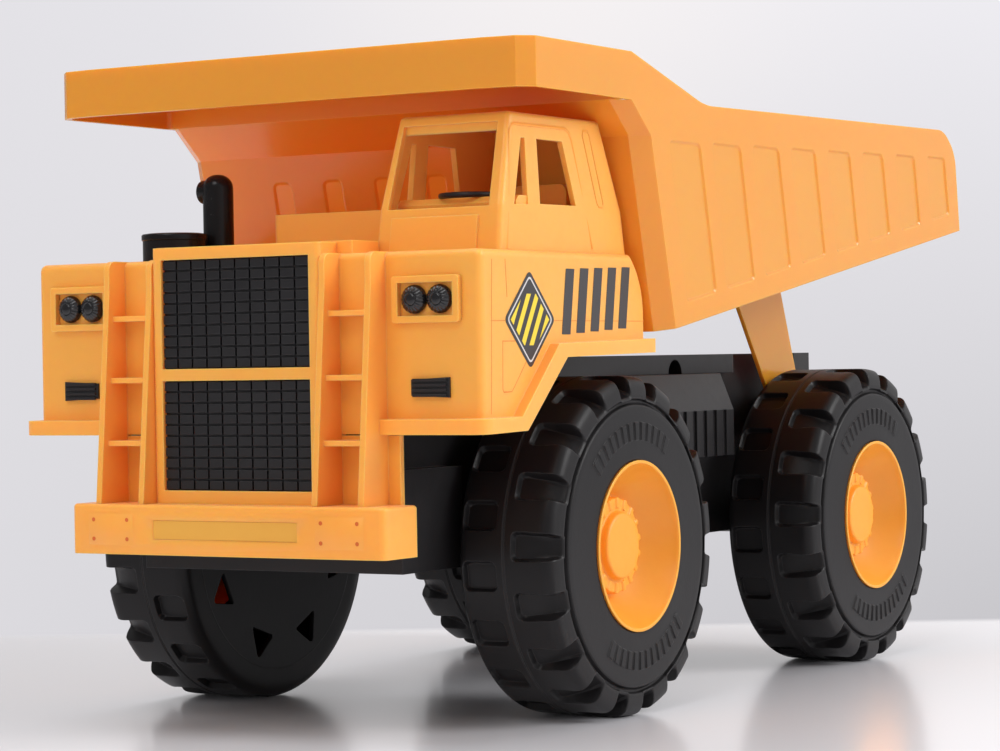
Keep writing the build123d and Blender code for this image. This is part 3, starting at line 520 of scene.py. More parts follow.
web_loops = [circle(WEB_RIM + 0.3, 96), circle(BOSS_HOLE, 32)]
web_loops += [turned(OPENING, n * 2 * math.pi / OPENINGS) for n in range(OPENINGS)]
web_middle = Vector((WEB_THICK / 2 * MM, 0, 0))
web = stood(plate(web_loops, WEB_THICK, 0.25), web_middle, PLATE_TO_SIDE)
grip_loops = [
    turned(GRIP, arc * math.pi / 2 + (n - (GRIPS - 1) / 2) * GRIP_PITCH)
    for arc in (1, -1)
    for n in range(GRIPS)
]
grips = stood(plate(grip_loops, GRIP_THICK, 0.4), Vector((GRIP_OUT * MM, 0, 0)), PLATE_TO_SIDE)
tyre_body = joined([ring(tyre_rows, tyre_angles, tyre_swell), web, lathe(BOSS_ROWS, 64), grips])

vinyl = Finish("tyre_vinyl", Specular_IOR_Level=0.21)
vinyl_place = vinyl.place()
vinyl_drift = vinyl.noise(vinyl_place, 22.0, 4.0, 0.6).ramp(0.3, 0.7)
vinyl_dust = vinyl.noise(vinyl_place, 420.0, 4.0, 0.7).ramp(0.62, 0.8)
vinyl_soft, vinyl_turn = vinyl.softened(0.0004)
vinyl_edge_highlight = vinyl_turn.ramp(0.01, 0.12)
vinyl_clean, vinyl_dusty = (0.0070, 0.0064, 0.0068), (0.0135, 0.0122, 0.0130)
vinyl_tone = vinyl.mix(vinyl_drift * 0.7 + vinyl_dust * 0.3, vinyl_clean, vinyl_dusty)
# The tyre's rounded edges are lightened toward a paler grey: a painted highlight.
vinyl.paint("Base Color", vinyl.mix(vinyl_edge_highlight * 0.6, vinyl_tone, (0.060, 0.057, 0.058)))
vinyl.paint("Roughness", 0.36 + vinyl_drift * 0.08 + vinyl_dust * 0.06)
vinyl_fine = vinyl.noise(vinyl_place, 900.0, 3.0)
vinyl_wave = vinyl.noise(vinyl_place, 160.0, 3.0)
vinyl.grain(0.4, GRAIN_DEPTH, vinyl_fine * 0.5 + vinyl_wave, Normal=vinyl_soft)

AXLES = {"front": 114.4, "rear": 318.4}
# side: (half turn to face outward, how far the wheel has rolled)
SIDES = {"left": (0.0, math.radians(7.0)), "right": (math.pi, math.radians(18.0))}
WHEEL_OUT = Vector((58.2 * MM, 0, 0))
wheel_places = {
    f"{axle}_{side}": Matrix.Translation(at(0, back, TYRE_RADIUS))
    @ Matrix.Rotation(facing, 4, "Z")
    @ Matrix.Translation(WHEEL_OUT)
    @ Matrix.Rotation(rolled, 4, "X")
    for axle, back in AXLES.items()
    for side, (facing, rolled) in SIDES.items()
}


def wheel_piece(name, mesh, wheel, material, crease, solid):
    """Put a copy of a wheel's mesh on one wheel, where it takes the place of that wheel's solid."""
    made = moved(mesh.copy(), wheel_places[wheel])
    body = f"wheel_{wheel}"
    piece(f"{name}_{wheel}", made, material, body, crease, [f"{solid}_{wheel}"])


for wheel in wheel_places:
    wheel_piece("tyre_moulding", tyre_body, wheel, vinyl.material, 28.0, "tyre")

# ------------------------------------------------------------------ rims and hub caps
# A rim is a yellow moulding pressed into the tyre's bead: a rounded lip, a deep conical dish and a
# tube over the axle. The hub cap is glued to its floor, with a ring of 18 bars round a plain boss.
RIM_ROWS = [
    (2.0, 2.6), (2.0, 8.0), (22.0, 8.0), (22.0, 19.2), (22.6, 19.8), (35.4, 29.75), (39.0, 29.85),
    (39.25, 30.15), (39.45, 30.2), (39.62, 30.0), (39.66, 29.6), (39.55, 29.15), (39.2, 28.9),
    (38.4, 28.75), (37.0, 28.2), (34.8, 27.1), (32.2, 25.6), (29.6, 23.8), (27.4, 22.0),
    (25.6, 20.3), (24.6, 19.2), (24.15, 18.6), (24.0, 17.9), (24.0, 2.6), (2.0, 2.6),
]
HUB_ROWS = [
    (24.0, 17.0), (27.0, 17.0), (29.0, 16.98), (29.5, 16.9), (29.75, 16.65), (29.8, 16.3),
    (29.8, 15.9), (29.8, 15.0), (29.8, 14.1), (29.8, 13.7), (29.8, 13.4), (29.8, 13.1),
    (29.8, 12.5), (30.0, 12.2), (30.4, 12.05), (31.2, 11.9), (32.0, 11.75), (32.45, 11.5),
    (32.7, 11.1), (32.8, 10.5), (32.84, 7.0), (32.86, 3.0), (32.86, 0.0),
]
HUB_BARS = 18
BAR_MIDDLE = 15.0
BAR_HALF = 1.25
BAR_WALL = 0.5
BAR_RISE = 0.6
BAR_RING = (13.2, 16.95)
RING_FLANK = 16.0
RING_FACE, RING_TOP = 29.0, 29.9
SCALLOP = 0.36


def hub_swell(out, radius, angle):
    """Raise the bars on the hub's ring and scallop its rim."""
    turn = angle / (2 * math.pi) * HUB_BARS
    aside = abs(turn - round(turn)) / HUB_BARS * 2 * math.pi * BAR_MIDDLE
    bar = min(max((BAR_HALF - aside) / BAR_WALL, 0.0), 1.0)
    bar *= bar * (3 - 2 * bar)
    if radius > RING_FLANK and out < RING_TOP:
        radius += (bar - 0.5) * SCALLOP
    if BAR_RING[0] < radius < BAR_RING[1] and out > RING_FACE:
        out += BAR_RISE * bar
    return out, radius


wheel_yellow = moulding(
    "wheel_plastic",
    colour=(0.90, 0.385, 0.036),
    shade=(0.87, 0.345, 0.026),
    edge_highlight=(1.0, 0.64, 0.14),
    gloss=0.36,
    grain=0.3,
    round_edge=0.0004,
    Subsurface_Weight=0.18,
    Subsurface_Radius=(1.0, 0.38, 0.07),
    Subsurface_Scale=0.005,
)
rim_body = lathe(RIM_ROWS, 160)
hub_body = lathe(HUB_ROWS, HUB_BARS * 16, hub_swell)
for wheel in wheel_places:
    wheel_piece("rim_moulding", rim_body, wheel, wheel_yellow, 30.0, "rim")
    wheel_piece("hub_moulding", hub_body, wheel, wheel_yellow, 40.0, "hub_cap")

# ------------------------------------------------------------------ bumper
# A yellow moulded bar across the front, screwed on from behind, with a sunk panel between two
# raised plates. Each plate carries four small bolt dimples, drawn as thin dark orange discs on its
# face: painted shade in the dimples.
body_yellow = moulding(
    "body_plastic",
    colour=(0.97, 0.41, 0.066),
    shade=(0.95, 0.37, 0.050),
    edge_highlight=(1.0, 0.66, 0.20),
    gloss=0.36,
    grain=0.3,
    Subsurface_Weight=0.45,
    Subsurface_Radius=(1.0, 0.38, 0.07),
    Subsurface_Scale=0.007,
    Sheen_Weight=0.12,
    Sheen_Roughness=0.5,
)
panel_yellow = moulding(
    "panel_plastic",
    colour=(0.80, 0.40, 0.055),
    shade=(0.76, 0.36, 0.045),
    edge_highlight=(0.95, 0.60, 0.18),
    gloss=0.4,
    grain=0.3,
)
# The dimples' dark orange is painted shade where they sink into the plate.
dimple_painted_shade = moulding(
    "dimple_shade",
    colour=(0.70, 0.13, 0.015),
    shade=(0.62, 0.10, 0.010),
    edge_highlight=(0.85, 0.30, 0.05),
    gloss=0.45,
    grain=0.2,
)


SAME_FLAT = math.radians(1)


def plain(mesh):
    """A solid's mesh as bmesh with one face for each flat, and a mark for sunk panels."""
    work = bmesh.new()
    work.from_mesh(mesh)
    work.faces.layers.int.new("sunk")
    bmesh.ops.remove_doubles(work, verts=work.verts, dist=WELD)
    bmesh.ops.dissolve_limit(
        work, angle_limit=SAME_FLAT, verts=work.verts, edges=work.edges, delimit=set()
    )
    return work


def draw_in(face, step):
    """Move a flat's corners toward its middle, so that the walls round it slope."""
    loop = list(face.verts)
    moves = []
    for n, vert in enumerate(loop):
        before, after = loop[n - 1], loop[(n + 1) % len(loop)]
        first = face.normal.cross((vert.co - before.co).normalized())
        second = face.normal.cross((after.co - vert.co).normalized())
        moves.append((first + second) / (1 + first.dot(second)) * step)
    for vert, move in zip(loop, moves):
        vert.co += move
    return loop


def taken_out(work, name):
    """The mesh of a finished bmesh, which is freed."""
    mesh = bpy.data.meshes.new(name)
    work.to_mesh(mesh)
    work.free()
    return mesh


BUMPER_DRAFT = 0.55 * MM
PANEL_SUNK = 1.6 * MM
NEAR = 0.1 * MM
bar = plain(bpy.data.objects["bumper"].data)
for face in list(bar.faces):
    sunk_by = face.calc_center_median().y - BUMPER_FACE
    if face.normal.y < -0.99 and (abs(sunk_by) < NEAR or abs(sunk_by - PANEL_SUNK) < NEAR):
        draw_in(face, BUMPER_DRAFT)
bumper_bar = taken_out(bar, "bumper_bar")
piece("bumper_bar", bumper_bar, body_yellow, "truck", 35.0, ["bumper"])

AXIS_FORWARD = Matrix.Rotation(-math.pi / 2, 4, "Z")
DIMPLE_ROWS = [(0.0, 0.72), (0.01, 0.66), (0.012, 0.4), (0.012, 0.0)]
dimples = [
    stood(lathe(DIMPLE_ROWS, 20), at(across, 0.0, up), AXIS_FORWARD)
    for across in (-54.7, -40.3, 40.3, 54.7)
    for up in (67.0, 73.6)
]
piece("plate_dimples", joined(dimples), dimple_painted_shade, "truck")

PLATE_TO_FRONT = Matrix.Rotation(math.pi / 2, 4, "X")
PANEL_HALF_LONG = 29.9
PANEL_HALF_HIGH = 3.25
panel_loop = [
    (across * PANEL_HALF_LONG, up * PANEL_HALF_HIGH)
    for across, up in ((-1, -1), (1, -1), (1, 1), (-1, 1))
]
sunk_panel = stood(plate([panel_loop], 0.3, 0.1), at(0, 1.5, 70.3), PLATE_TO_FRONT)
piece("bumper_panel", sunk_panel, panel_yellow, "truck")

# ------------------------------------------------------------------ body, its scores and stickers
# The body is one yellow moulding, its side walls scored with fine panel lines in the tool, drawn as
# low ribbons whose darker orange is painted shade of the grooves. Grilles and vents are black
# press-in pieces. A sticker on its corner and five bars are vinyl, stuck flat.
repaint(("body_shell",), body_yellow)
repaint(("vent_left", "vent_right", "grille_lower", "grille_upper"), black_satin)
# The wall lines are low ribbons in a darker orange: their colour is painted shade, standing for the
# shadow in the sunk score lines.
score_painted_shade = moulding(
    "score_line_shade",
    colour=(0.80, 0.25, 0.03),
    shade=(0.74, 0.21, 0.02),
    edge_highlight=(0.80, 0.30, 0.05),
    gloss=0.5,
    grain=0.1,
    round_edge=0.0001,
)
WALL_OUT = 92.6
SCORE_ROOT = -0.15


def body_wall(up):
    return WALL_OUT


def score(points, width, surface, closed=False, proud=0.06):
    """A line as a low round-backed ribbon along (back, up) points on a side wall."""
    count = len(points)
    corners, sides = [], []
    for n, (back, up) in enumerate(points):
        before = points[n - 1] if closed or n else points[n]
        after = points[(n + 1) % count] if closed or n < count - 1 else points[n]
        run = Vector((after[0] - before[0], after[1] - before[1])).normalized()
        aside = Vector((-run.y, run.x)) * width / 2
        if 0 < n < count - 1 or closed:
            first = Vector((back - before[0], up - before[1])).normalized()
            aside = aside / max(abs(first.dot(run)), 0.5)
        for share, lift in ((-1.0, SCORE_ROOT), (-0.5, proud), (0.5, proud), (1.0, SCORE_ROOT)):
            spot = Vector((back, up)) + aside * share
            corners.append(at(surface(spot.y) + lift, spot.x, spot.y))
    for n in range(count if closed else count - 1):
        here, there = n * 4, (n + 1) % count * 4
        for k in range(4):
            after = (k + 1) % 4
            sides.append((here + k, there + k, there + after, here + after))
    if not closed:
        last = len(corners) - 4
        sides += [(0, 1, 2, 3), (last + 3, last + 2, last + 1, last)]
    mesh = bpy.data.meshes.new("score")
    mesh.from_pydata(corners, [], sides)
    return closed_up(mesh)


def other_side(mesh):
    """The mirror image of a mesh, across the truck's middle."""
    twin = mesh.copy()
    twin.transform(Matrix.Scale(-1, 4, (1, 0, 0)))
    twin.flip_normals()
    return twin


# (width, points)
WALL_SCORES = [
    (0.62, [(25.1, 159.4), (24.5, 141.0), (23.4, 108.6)]),
    (0.60, [(33.6, 159.6), (34.5, 147.0)]),
    (0.42, [(23.9, 139.2), (60.0, 139.3), (129.0, 139.2)]),
    (0.60, [(45.5, 132.5), (31.3, 132.5), (30.9, 116.6), (31.5, 115.7), (36.7, 115.8),
            (38.9, 117.9), (47.0, 126.4)]),
]
wall_lines = joined([score(points, width, body_wall) for width, points in WALL_SCORES])
piece("wall_lines_left", wall_lines, score_painted_shade, "truck", 60.0)
piece("wall_lines_right", other_side(wall_lines), score_painted_shade, "truck", 60.0)


def sticker_layer(name, colour, loops, thickness, lift):
    """Print loops of (back, up) in one colour, as a film that stands off both side walls."""
    film = moulding(f"{name}_film", colour, colour, colour, 0.28, 0.1, 0.00005)
    on_wall = [[(BUMPER_FACE / MM + back, up) for back, up in loop] for loop in loops]
    off_wall = Matrix.Translation((0, 0, (WALL_OUT + lift) * MM))
    left = moved(plate(on_wall, thickness), PLATE_TO_SIDE @ off_wall)
    piece(f"{name}_left", left, film, "truck", 30.0)
    piece(f"{name}_right", other_side(left), film, "truck", 30.0)


def rounded(points, radius, count=5):
    """A loop with its corners rounded by short arcs."""
    loop = []
    for n, corner in enumerate(points):
        before, after = Vector(points[n - 1]), Vector(points[(n + 1) % len(points)])
        here = Vector(corner)
        start = here + (before - here).normalized() * radius
        end = here + (after - here).normalized() * radius
        for k in range(count):
            t = k / (count - 1)
            loop.append(tuple(start * (1 - t) ** 2 + here * 2 * t * (1 - t) + end * t * t))
    return loop


STICKER_BACK, STICKER_UP = 49.0, 139.6
STICKER_HALF = 16.6


def diamond(half, radius):
    back, up = STICKER_BACK, STICKER_UP
    ends = [(back, up - half), (back + half, up), (back, up + half), (back - half, up)]
    return rounded(ends, radius)


def clipped(points, half):
    """The part of a loop inside the diamond's half diagonal, cut edge by edge."""
    for turn_back, turn_up in ((1, 1), (1, -1), (-1, 1), (-1, -1)):
        depths = [
            half - turn_back * (back - STICKER_BACK) - turn_up * (up - STICKER_UP)
            for back, up in points
        ]
        kept = []
        for n, here in enumerate(points):
            before = points[n - 1]
            if depths[n] * depths[n - 1] < 0:
                t = depths[n - 1] / (depths[n - 1] - depths[n])
                kept.append(tuple(b + (h - b) * t for b, h in zip(before, here)))
            if depths[n] >= 0:
                kept.append(here)
        points = kept
    return points


def slanted(foot, wide, lean, low, high):
    """A bar from a foot at low to a head at high, leaning back."""
    return [(foot, low), (foot + wide, low), (foot + lean + wide, high), (foot + lean, high)]


SLANT_PITCH = 5.6
SLANT_WIDE = 2.8
SLANT_LEAN = 10.0
SLANT_REACH = 8.6
SLANT_FIELD = 12.6
slants = []
for n in range(-4, 5):
    foot = STICKER_BACK + n * SLANT_PITCH - (SLANT_LEAN + SLANT_WIDE) / 2
    low, high = STICKER_UP - SLANT_REACH, STICKER_UP + SLANT_REACH
    slant = clipped(slanted(foot, SLANT_WIDE, SLANT_LEAN, low, high), SLANT_FIELD)
    if len(slant) > 2:
        slants.append(slant)

SIDE_BARS = 5
SIDE_BAR_WIDE = 5.8
SIDE_BAR_LEAN = 3.4
side_bars = [
    slanted(70.2 + n * 9.9, SIDE_BAR_WIDE, SIDE_BAR_LEAN, 134.6 + n * 0.5, 157.0 + n * 0.3)
    for n in range(SIDE_BARS)
]
white_line = [diamond(14.9, 1.8), diamond(14.1, 1.6)]
# name, colour, loops, thickness, how far the film's middle stands off the wall
sticker_layer("diamond_base", (0.028, 0.026, 0.028), [diamond(STICKER_HALF, 2.2)], 0.08, 0.08)
sticker_layer("diamond_line", (0.62, 0.60, 0.60), white_line, 0.05, 0.13)
sticker_layer("diamond_slants", (0.80, 0.60, 0.03), slants, 0.05, 0.13)
sticker_layer("slanted_bars", (0.034, 0.031, 0.033), side_bars, 0.06, 0.07)

# ------------------------------------------------------------------ headlamps
# Twin glossy black domes are pressed into each yellow bezel. Each dome is turned: a round shoulder
# with fine ribs, a ring groove, and a small plain lens in the middle.
repaint(("headlamp_bezel_left", "headlamp_bezel_right"), body_yellow)
lamp_gloss = moulding(
    "lamp_gloss",
    colour=(0.008, 0.008, 0.009),
    shade=(0.012, 0.011, 0.012),
    edge_highlight=(0.03, 0.03, 0.032),
    gloss=0.12,
    grain=0.1,
    round_edge=0.0002,
)
DOME_ROWS = [
    (0.0, 4.5), (0.3, 4.75), (0.9, 4.8), (1.6, 4.62), (2.2, 4.25), (2.7, 3.8), (3.1, 3.3),
    (3.35, 2.85), (3.5, 2.5), (3.52, 2.3), (3.3, 2.15), (3.28, 2.0), (3.5, 1.85), (3.68, 1.5),
    (3.76, 1.0), (3.8, 0.5), (3.8, 0.0),
]
DOME_RIBS = 20
RIBBED = (2.6, 4.7)
RIB_RISE = 0.13
LAMPS_OUT = 72.35
LAMP_HALF_PITCH = 4.95
LAMP_BACK = 18.0
LAMP_UP = 146.7


def dome_swell(out, radius, angle):
    """Raise fine ribs over the dome's shoulder."""
    if RIBBED[0] < radius < RIBBED[1]:
        out += RIB_RISE * math.cos(angle * DOME_RIBS)
    return out, radius


for side, sign in (("left", 1), ("right", -1)):
    pair = [
        stood(lathe(DOME_ROWS, 144, dome_swell), at(sign * out, LAMP_BACK, LAMP_UP), AXIS_FORWARD)
        for out in (LAMPS_OUT - LAMP_HALF_PITCH, LAMPS_OUT + LAMP_HALF_PITCH)
    ]
    domes = joined(pair)
    stood_for = [f"headlamps_{side}"]
    piece(f"lamp_domes_{side}", domes, lamp_gloss, "truck", 50.0, stood_for)

# ------------------------------------------------------------------ cab
# The cab is one yellow moulding with open windows and a seat pressed in. Low ridges outline the
# door and the post behind it on its outer side. The black steering wheel presses into the dash.
repaint(("cab", "cab_seat"), body_yellow)
raised_shade = moulding(
    "raised_line",
    colour=(0.93, 0.37, 0.052),
    shade=(0.90, 0.34, 0.042),
    edge_highlight=(1.0, 0.58, 0.14),
    gloss=0.36,
    grain=0.1,
    round_edge=0.0003,
)
# (height, how far out the cab's left side stands)
CAB_FOOT, CAB_WAIST, CAB_TOP = (162.8, 88.4), (178.0, 88.1), (209.8, 85.8)


def cab_side(up):
    """How far out the cab's left side stands at a height."""
    low, high = (CAB_FOOT, CAB_WAIST) if up < CAB_WAIST[0] else (CAB_WAIST, CAB_TOP)
    return low[1] + (high[1] - low[1]) * (up - low[0]) / (high[0] - low[0])


DOOR = [
    (42.2, 163.2), (47.2, 196.3), (49.0, 203.4), (50.1, 205.0), (52.0, 205.5), (85.7, 205.7),
    (88.0, 204.6), (89.8, 201.9), (99.8, 164.4),
]
POST = [
    (97.9, 204.0), (98.6, 205.6), (101.6, 205.6), (102.8, 204.0), (108.9, 180.6), (108.2, 179.4),
    (105.6, 179.4), (104.5, 180.6),
]
door_lines = joined([
    score(DOOR, 1.25, cab_side, closed=False, proud=0.36),
    score(POST, 1.0, cab_side, closed=True, proud=0.3),
])
piece("door_lines", door_lines, raised_shade, "truck", 60.0)

GRIP_RING = 10.0
GRIP_RADIUS = 0.95
WHEEL_MIDDLE_UP = 0.9
grip_rows = [
    (WHEEL_MIDDLE_UP + GRIP_RADIUS * math.sin(angle), GRIP_RING + GRIP_RADIUS * math.cos(angle))
    for angle in (2 * math.pi * n / 12 for n in range(13))
]
BUTTON_ROWS = [(0.0, 2.6), (1.4, 2.6), (1.9, 2.2), (2.0, 1.6), (2.0, 0.0)]
SPOKE = [(1.5, -0.9), (9.6, -0.7), (9.6, 0.7), (1.5, 0.9)]
SPOKES = 3
spoke_up = Vector((0, 0, WHEEL_MIDDLE_UP * MM))
spokes = [
    plate([turned(SPOKE, n * 2 * math.pi / SPOKES + math.pi / 2)], 1.0, 0.2) for n in range(SPOKES)
]
steering = joined(
    [moved(lathe(grip_rows, 72), AXIS_UP), moved(lathe(BUTTON_ROWS, 32), AXIS_UP)]
    + [moved(spoke, Matrix.Translation(spoke_up)) for spoke in spokes]
)
STEERING_SPOT = at(64.5, 58.0, 181.5)
steering = moved(steering, Matrix.Translation(STEERING_SPOT))
stood_for = ["steering_wheel"]
piece("steering_ring", steering, black_satin, "truck", 40.0, stood_for)

# ------------------------------------------------------------------ bed
# The bed is one steel pressing, sprayed, and tips with its two legs on the hinge pin. Its paint is
# glossier than the mouldings. Its panels have sloping walls, and folds and rims are all rounded.
bed_paint = moulding(
    "bed_paint",
    colour=(0.745, 0.305, 0.034),
    shade=(0.735, 0.292, 0.030),
    edge_highlight=(0.88, 0.46, 0.09),
    gloss=0.17,
    grain=0.12,
    round_edge=0.0006,
    Subsurface_Weight=0.5,
    Subsurface_Radius=(1.0, 0.34, 0.04),
    Subsurface_Scale=0.009,
)
repaint(("bed_leg_left", "bed_leg_right"), bed_paint)
FOLD = math.radians(12)
PANEL_DRAFT = 0.9 * MM
PANEL_CORNER = 2.4 * MM
PANEL_FOLD = 0.35 * MM
RIM_ROUND = 0.8 * MM
TURN_ROUND = 5.5 * MM
# a turn of the rim crosses a side wall, farther out and farther back than these
TURN_OUT = 90 * MM
TURN_BACK = -60 * MM
SHEET_RANGE = (1.0 * MM, 3.2 * MM)
LEVEL = 0.99999
# a flat with more corners than this goes round panels
WIDE_CORNERS = 12
# a panel has more corners than this once they are rounded
PANEL_CORNERS = 8


def folded(edge):
    return len(edge.link_faces) == 2 and edge.calc_face_angle(0) > FOLD


def turns_rim(edge):
    """Whether an edge crosses the thickness of a side wall, at a turn of its top or tail."""
    start = edge.verts[0].co
    run = edge.verts[1].co - start
    return (
        folded(edge)
        and abs(start.x) > TURN_OUT
        and start.y > TURN_BACK
        and abs(run.x) > 0.98 * run.length
        and SHEET_RANGE[0] < run.length < SHEET_RANGE[1]
    )


def level(edge):
    """Whether the two faces of an edge lie in one plane."""
    faces = edge.link_faces
    return len(faces) == 2 and abs(faces[0].normal.dot(faces[1].normal)) > LEVEL


def rounded_off(work, edges, radius, steps, clamped=False):
    """Round edges off. Clamped, the radius shrinks where there is no room for it."""
    bmesh.ops.bevel(
        work, geom=edges, offset=radius, offset_type="OFFSET", segments=steps, profile=0.5,
        affect="EDGES", clamp_overlap=clamped,
    )


def filled_again(work, first):
    """The flat region round one face, emptied and filled again between its own edges."""
    normal = first.normal.copy()
    region, waiting = {first}, [first]
    while waiting:
        for edge in waiting.pop().edges:
            if level(edge):
                others = set(edge.link_faces) - region
                region |= others
                waiting += others
    rim = [edge for edge in work.edges if len(region.intersection(edge.link_faces)) == 1]
    emptied = [face for face in work.faces if face in region]
    bmesh.ops.delete(work, geom=emptied, context="FACES_ONLY")
    bmesh.ops.triangle_fill(work, edges=rim, use_beauty=True, normal=normal)
    bare_edges = [edge for edge in work.edges if not edge.link_faces]
    bmesh.ops.delete(work, geom=bare_edges, context="EDGES")
    bare_corners = [vert for vert in work.verts if not vert.link_edges]
    bmesh.ops.delete(work, geom=bare_corners, context="VERTS")


def pressed(mesh):
    """The bed with sloping panel walls, rounded panel corners and rounded rims."""
    work = plain(mesh)
    sunk = work.faces.layers.int["sunk"]
    rounded_off(work, [edge for edge in work.edges if turns_rim(edge)], TURN_ROUND, 5)

    # round the corners of each panel, where its walls meet
    posts = []
    for face in work.faces:
        if all(not edge.is_convex for edge in face.edges):
            face[sunk] = 1
            at_corners = [edge for vert in face.verts for edge in vert.link_edges]
            posts += [edge for edge in at_corners if face not in edge.link_faces]
    rounded_off(work, posts, PANEL_CORNER, 4)

    # slope the walls, then round the folds at their foot and head, and the rims
    panels = [face for face in work.faces if face[sunk] and len(face.verts) > PANEL_CORNERS]
    drawn_in = {vert for face in panels for vert in draw_in(face, PANEL_DRAFT)}
    work.normal_update()
    near = set(drawn_in)
    for vert in drawn_in:
        near.update(edge.other_vert(vert) for edge in vert.link_edges)
    folds, rims = [], []
    for edge in work.edges:
        if folded(edge) and near.isdisjoint(edge.verts):
            rims.append(edge)
        elif folded(edge) and near.issuperset(edge.verts):
            if (edge.verts[0] in drawn_in) == (edge.verts[1] in drawn_in):
                folds.append(edge)
    rounded_off(work, folds, PANEL_FOLD, 3, clamped=True)
    rounded_off(work, [edge for edge in rims if edge.is_valid], RIM_ROUND, 3, clamped=True)

    # rounding the corners leaves the flats round the panels folded over: fill them again
    work.normal_update()
    while wide := [face for face in work.faces if len(face.verts) > WIDE_CORNERS]:
        filled_again(work, max(wide, key=lambda face: face.calc_area()))
    fins = [face for face in work.faces if any(len(edge.link_faces) == 1 for edge in face.edges)]
    bmesh.ops.delete(work, geom=fins, context="FACES")
    return taken_out(work, "pressed")


def lean_on_flats(mesh):
    """Shade a mesh by normals that follow its large faces, so that flats stay flat."""
    leans = [Vector() for vert in mesh.vertices]
    for face in mesh.polygons:
        for corner in face.vertices:
            leans[corner] += face.normal * face.area
    mesh.normals_split_custom_set_from_vertices([lean.normalized() for lean in leans])


bed_mesh = pressed(bpy.data.objects["bed"].data)
piece("bed_pressing", bed_mesh, bed_paint, "bed", 180.0, ["bed"])
lean_on_flats(bed_mesh)

# ------------------------------------------------------------------ board, backdrop and light
# A pale glossy board lies under the truck, and pale paper starts where it ends; the paper glows
# with painted light, brighter overhead and darker aside. Large soft lights stand to the cab side,
# in front and above, and the room is brighter behind the cab side.
FLOOR_HALF = 6.0
floor_corners = [
    (across * FLOOR_HALF, back * FLOOR_HALF, 0.0)
    for across, back in ((-1, -1), (1, -1), (1, 1), (-1, 1))
]
floor_mesh = bpy.data.meshes.new("floor")
floor_mesh.from_pydata(floor_corners, [], [(0, 1, 2, 3)])
floor = bpy.data.objects.new("floor", floor_mesh)
bpy.context.scene.collection.objects.link(floor)

# level directions from where the camera stands: away along the board, and across it
AWAY_RUN = (-0.5174, 0.8557, 0.0)
ACROSS_RUN = (0.8557, 0.5174, 0.0)
BOARD_END = (1.371, 1.395)
PAPER_DARKEST, PAPER_LIGHTEST = 0.58, 0.93
PAPER_REACH = 0.2


def paper_tone(nodes, across, rise):
    """The paper's painted light by how far across and up it lies: brighter overhead, darker aside,
    with a painted glow band.
    """
    across = across.clamped(-PAPER_REACH, PAPER_REACH)
    glow = rise.ramp(0.02, 0.11) * (1.0 - abs(across - 0.02).ramp(0.0, 0.14))
    tone = 0.72 + rise * (0.8 + across * 3.0) - across * 0.1 + glow * 0.09
    tint = nodes.mix(glow, (1.0, 0.985, 1.03), (1.0, 0.965, 0.975))
    terms = {0: tint, "Scale": tone.clamped(PAPER_DARKEST, PAPER_LIGHTEST)}
    return nodes.node("ShaderNodeVectorMath", {"operation": "SCALE"}, terms)


board = Finish("floor_board", Roughness=0.3, IOR=1.55, Coat_Weight=0.7, Coat_Roughness=0.15)
board.paint("Base Color", (0.86, 0.85, 0.885))
from_camera = board.node(
    "ShaderNodeVectorMath", {"operation": "SUBTRACT"}, {0: board.place(), 1: CAMERA_SPOT}
)
away = from_camera.dot(AWAY_RUN)
distance = away.math("MAXIMUM", away, 1.0)
seen_tone = paper_tone(board, from_camera.dot(ACROSS_RUN) / distance, -CAMERA_SPOT.z / distance)
paper_glow = board.node("ShaderNodeEmission", {}, {"Color": seen_tone, "Strength": 1.0})
seen = board.node("ShaderNodeLightPath", {}, {}, "Is Camera Ray")
mirrored = board.node("ShaderNodeLightPath", {}, {}, "Is Glossy Ray")
paper_share = away.ramp(*BOARD_END) * (seen + mirrored)
board_shader = Wire(board, board.shader.outputs[0])
top = board.node("ShaderNodeMixShader", {}, {0: paper_share, 1: board_shader, 2: paper_glow})
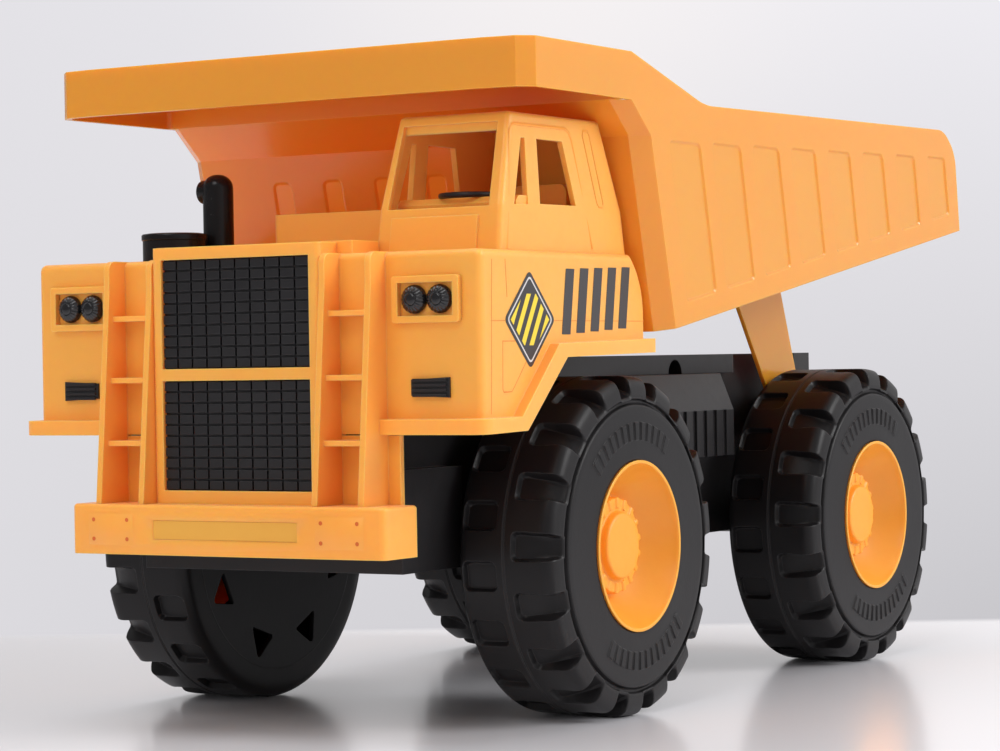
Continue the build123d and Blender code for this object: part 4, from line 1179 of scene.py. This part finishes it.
# from below the board is clear, so that the underside of the truck shows
below = board.node("ShaderNodeNewGeometry", {}, {}, "Backfacing")
clear = board.node("ShaderNodeBsdfTransparent", {}, {})
both_sides = board.node("ShaderNodeMixShader", {}, {0: below, 1: top, 2: clear})
board.feed(board.tree.nodes["Material Output"].inputs["Surface"], both_sides)
floor_mesh.materials.append(board.material)

world = bpy.data.worlds.new("studio")
bpy.context.scene.world = world
world.use_nodes = True
room = Nodes(world.node_tree)
heading = room.node("ShaderNodeTexCoord", {}, {}, "Generated")
height = room.node("ShaderNodeSeparateXYZ", {}, {0: heading}, "Z")
BRIGHT_SIDE = (0.62, 0.62, 0.35)
ROOM_DIMMEST, ROOM_RISE = 0.23, 0.62
brightness = ROOM_DIMMEST + heading.dot(BRIGHT_SIDE).ramp(-0.45, 0.75) * ROOM_RISE
room_light = room.node(
    "ShaderNodeBackground", {}, {"Color": (1.0, 0.985, 1.0), "Strength": brightness}
)
paper_seen = paper_tone(room, heading.dot(ACROSS_RUN), height)
paper = room.node("ShaderNodeBackground", {}, {"Color": paper_seen, "Strength": 1.0})
looked_at = room.node("ShaderNodeLightPath", {}, {}, "Is Camera Ray")
surround = room.node("ShaderNodeMixShader", {}, {0: looked_at, 1: room_light, 2: paper})
room.feed(room.tree.nodes["World Output"].inputs["Surface"], surround)

# name, direction it stands in, spread in degrees, strength, whether it shows in gloss
LIGHTS = [
    ("side", (2.4, 0.9, 1.5), 30.0, 1.75, True),
    ("front", (0.1, -1.35, 1.25), 24.0, 0.66, True),
    ("low", (-0.55, -1.8, 0.15), 36.0, 0.74, False),
    ("top", (-0.3, -0.1, 1.5), 40.0, 1.25, True),
]
for name, stands, spread, strength, in_gloss in LIGHTS:
    light = bpy.data.objects.new(name, bpy.data.lights.new(name, "SUN"))
    light.data.energy = strength
    light.data.angle = math.radians(spread)
    light.visible_glossy = in_gloss
    light.matrix_world = Vector(stands).to_track_quat("Z", "Y").to_matrix().to_4x4()
    bpy.context.scene.collection.objects.link(light)

bpy.context.scene.view_settings.view_transform = "Standard"
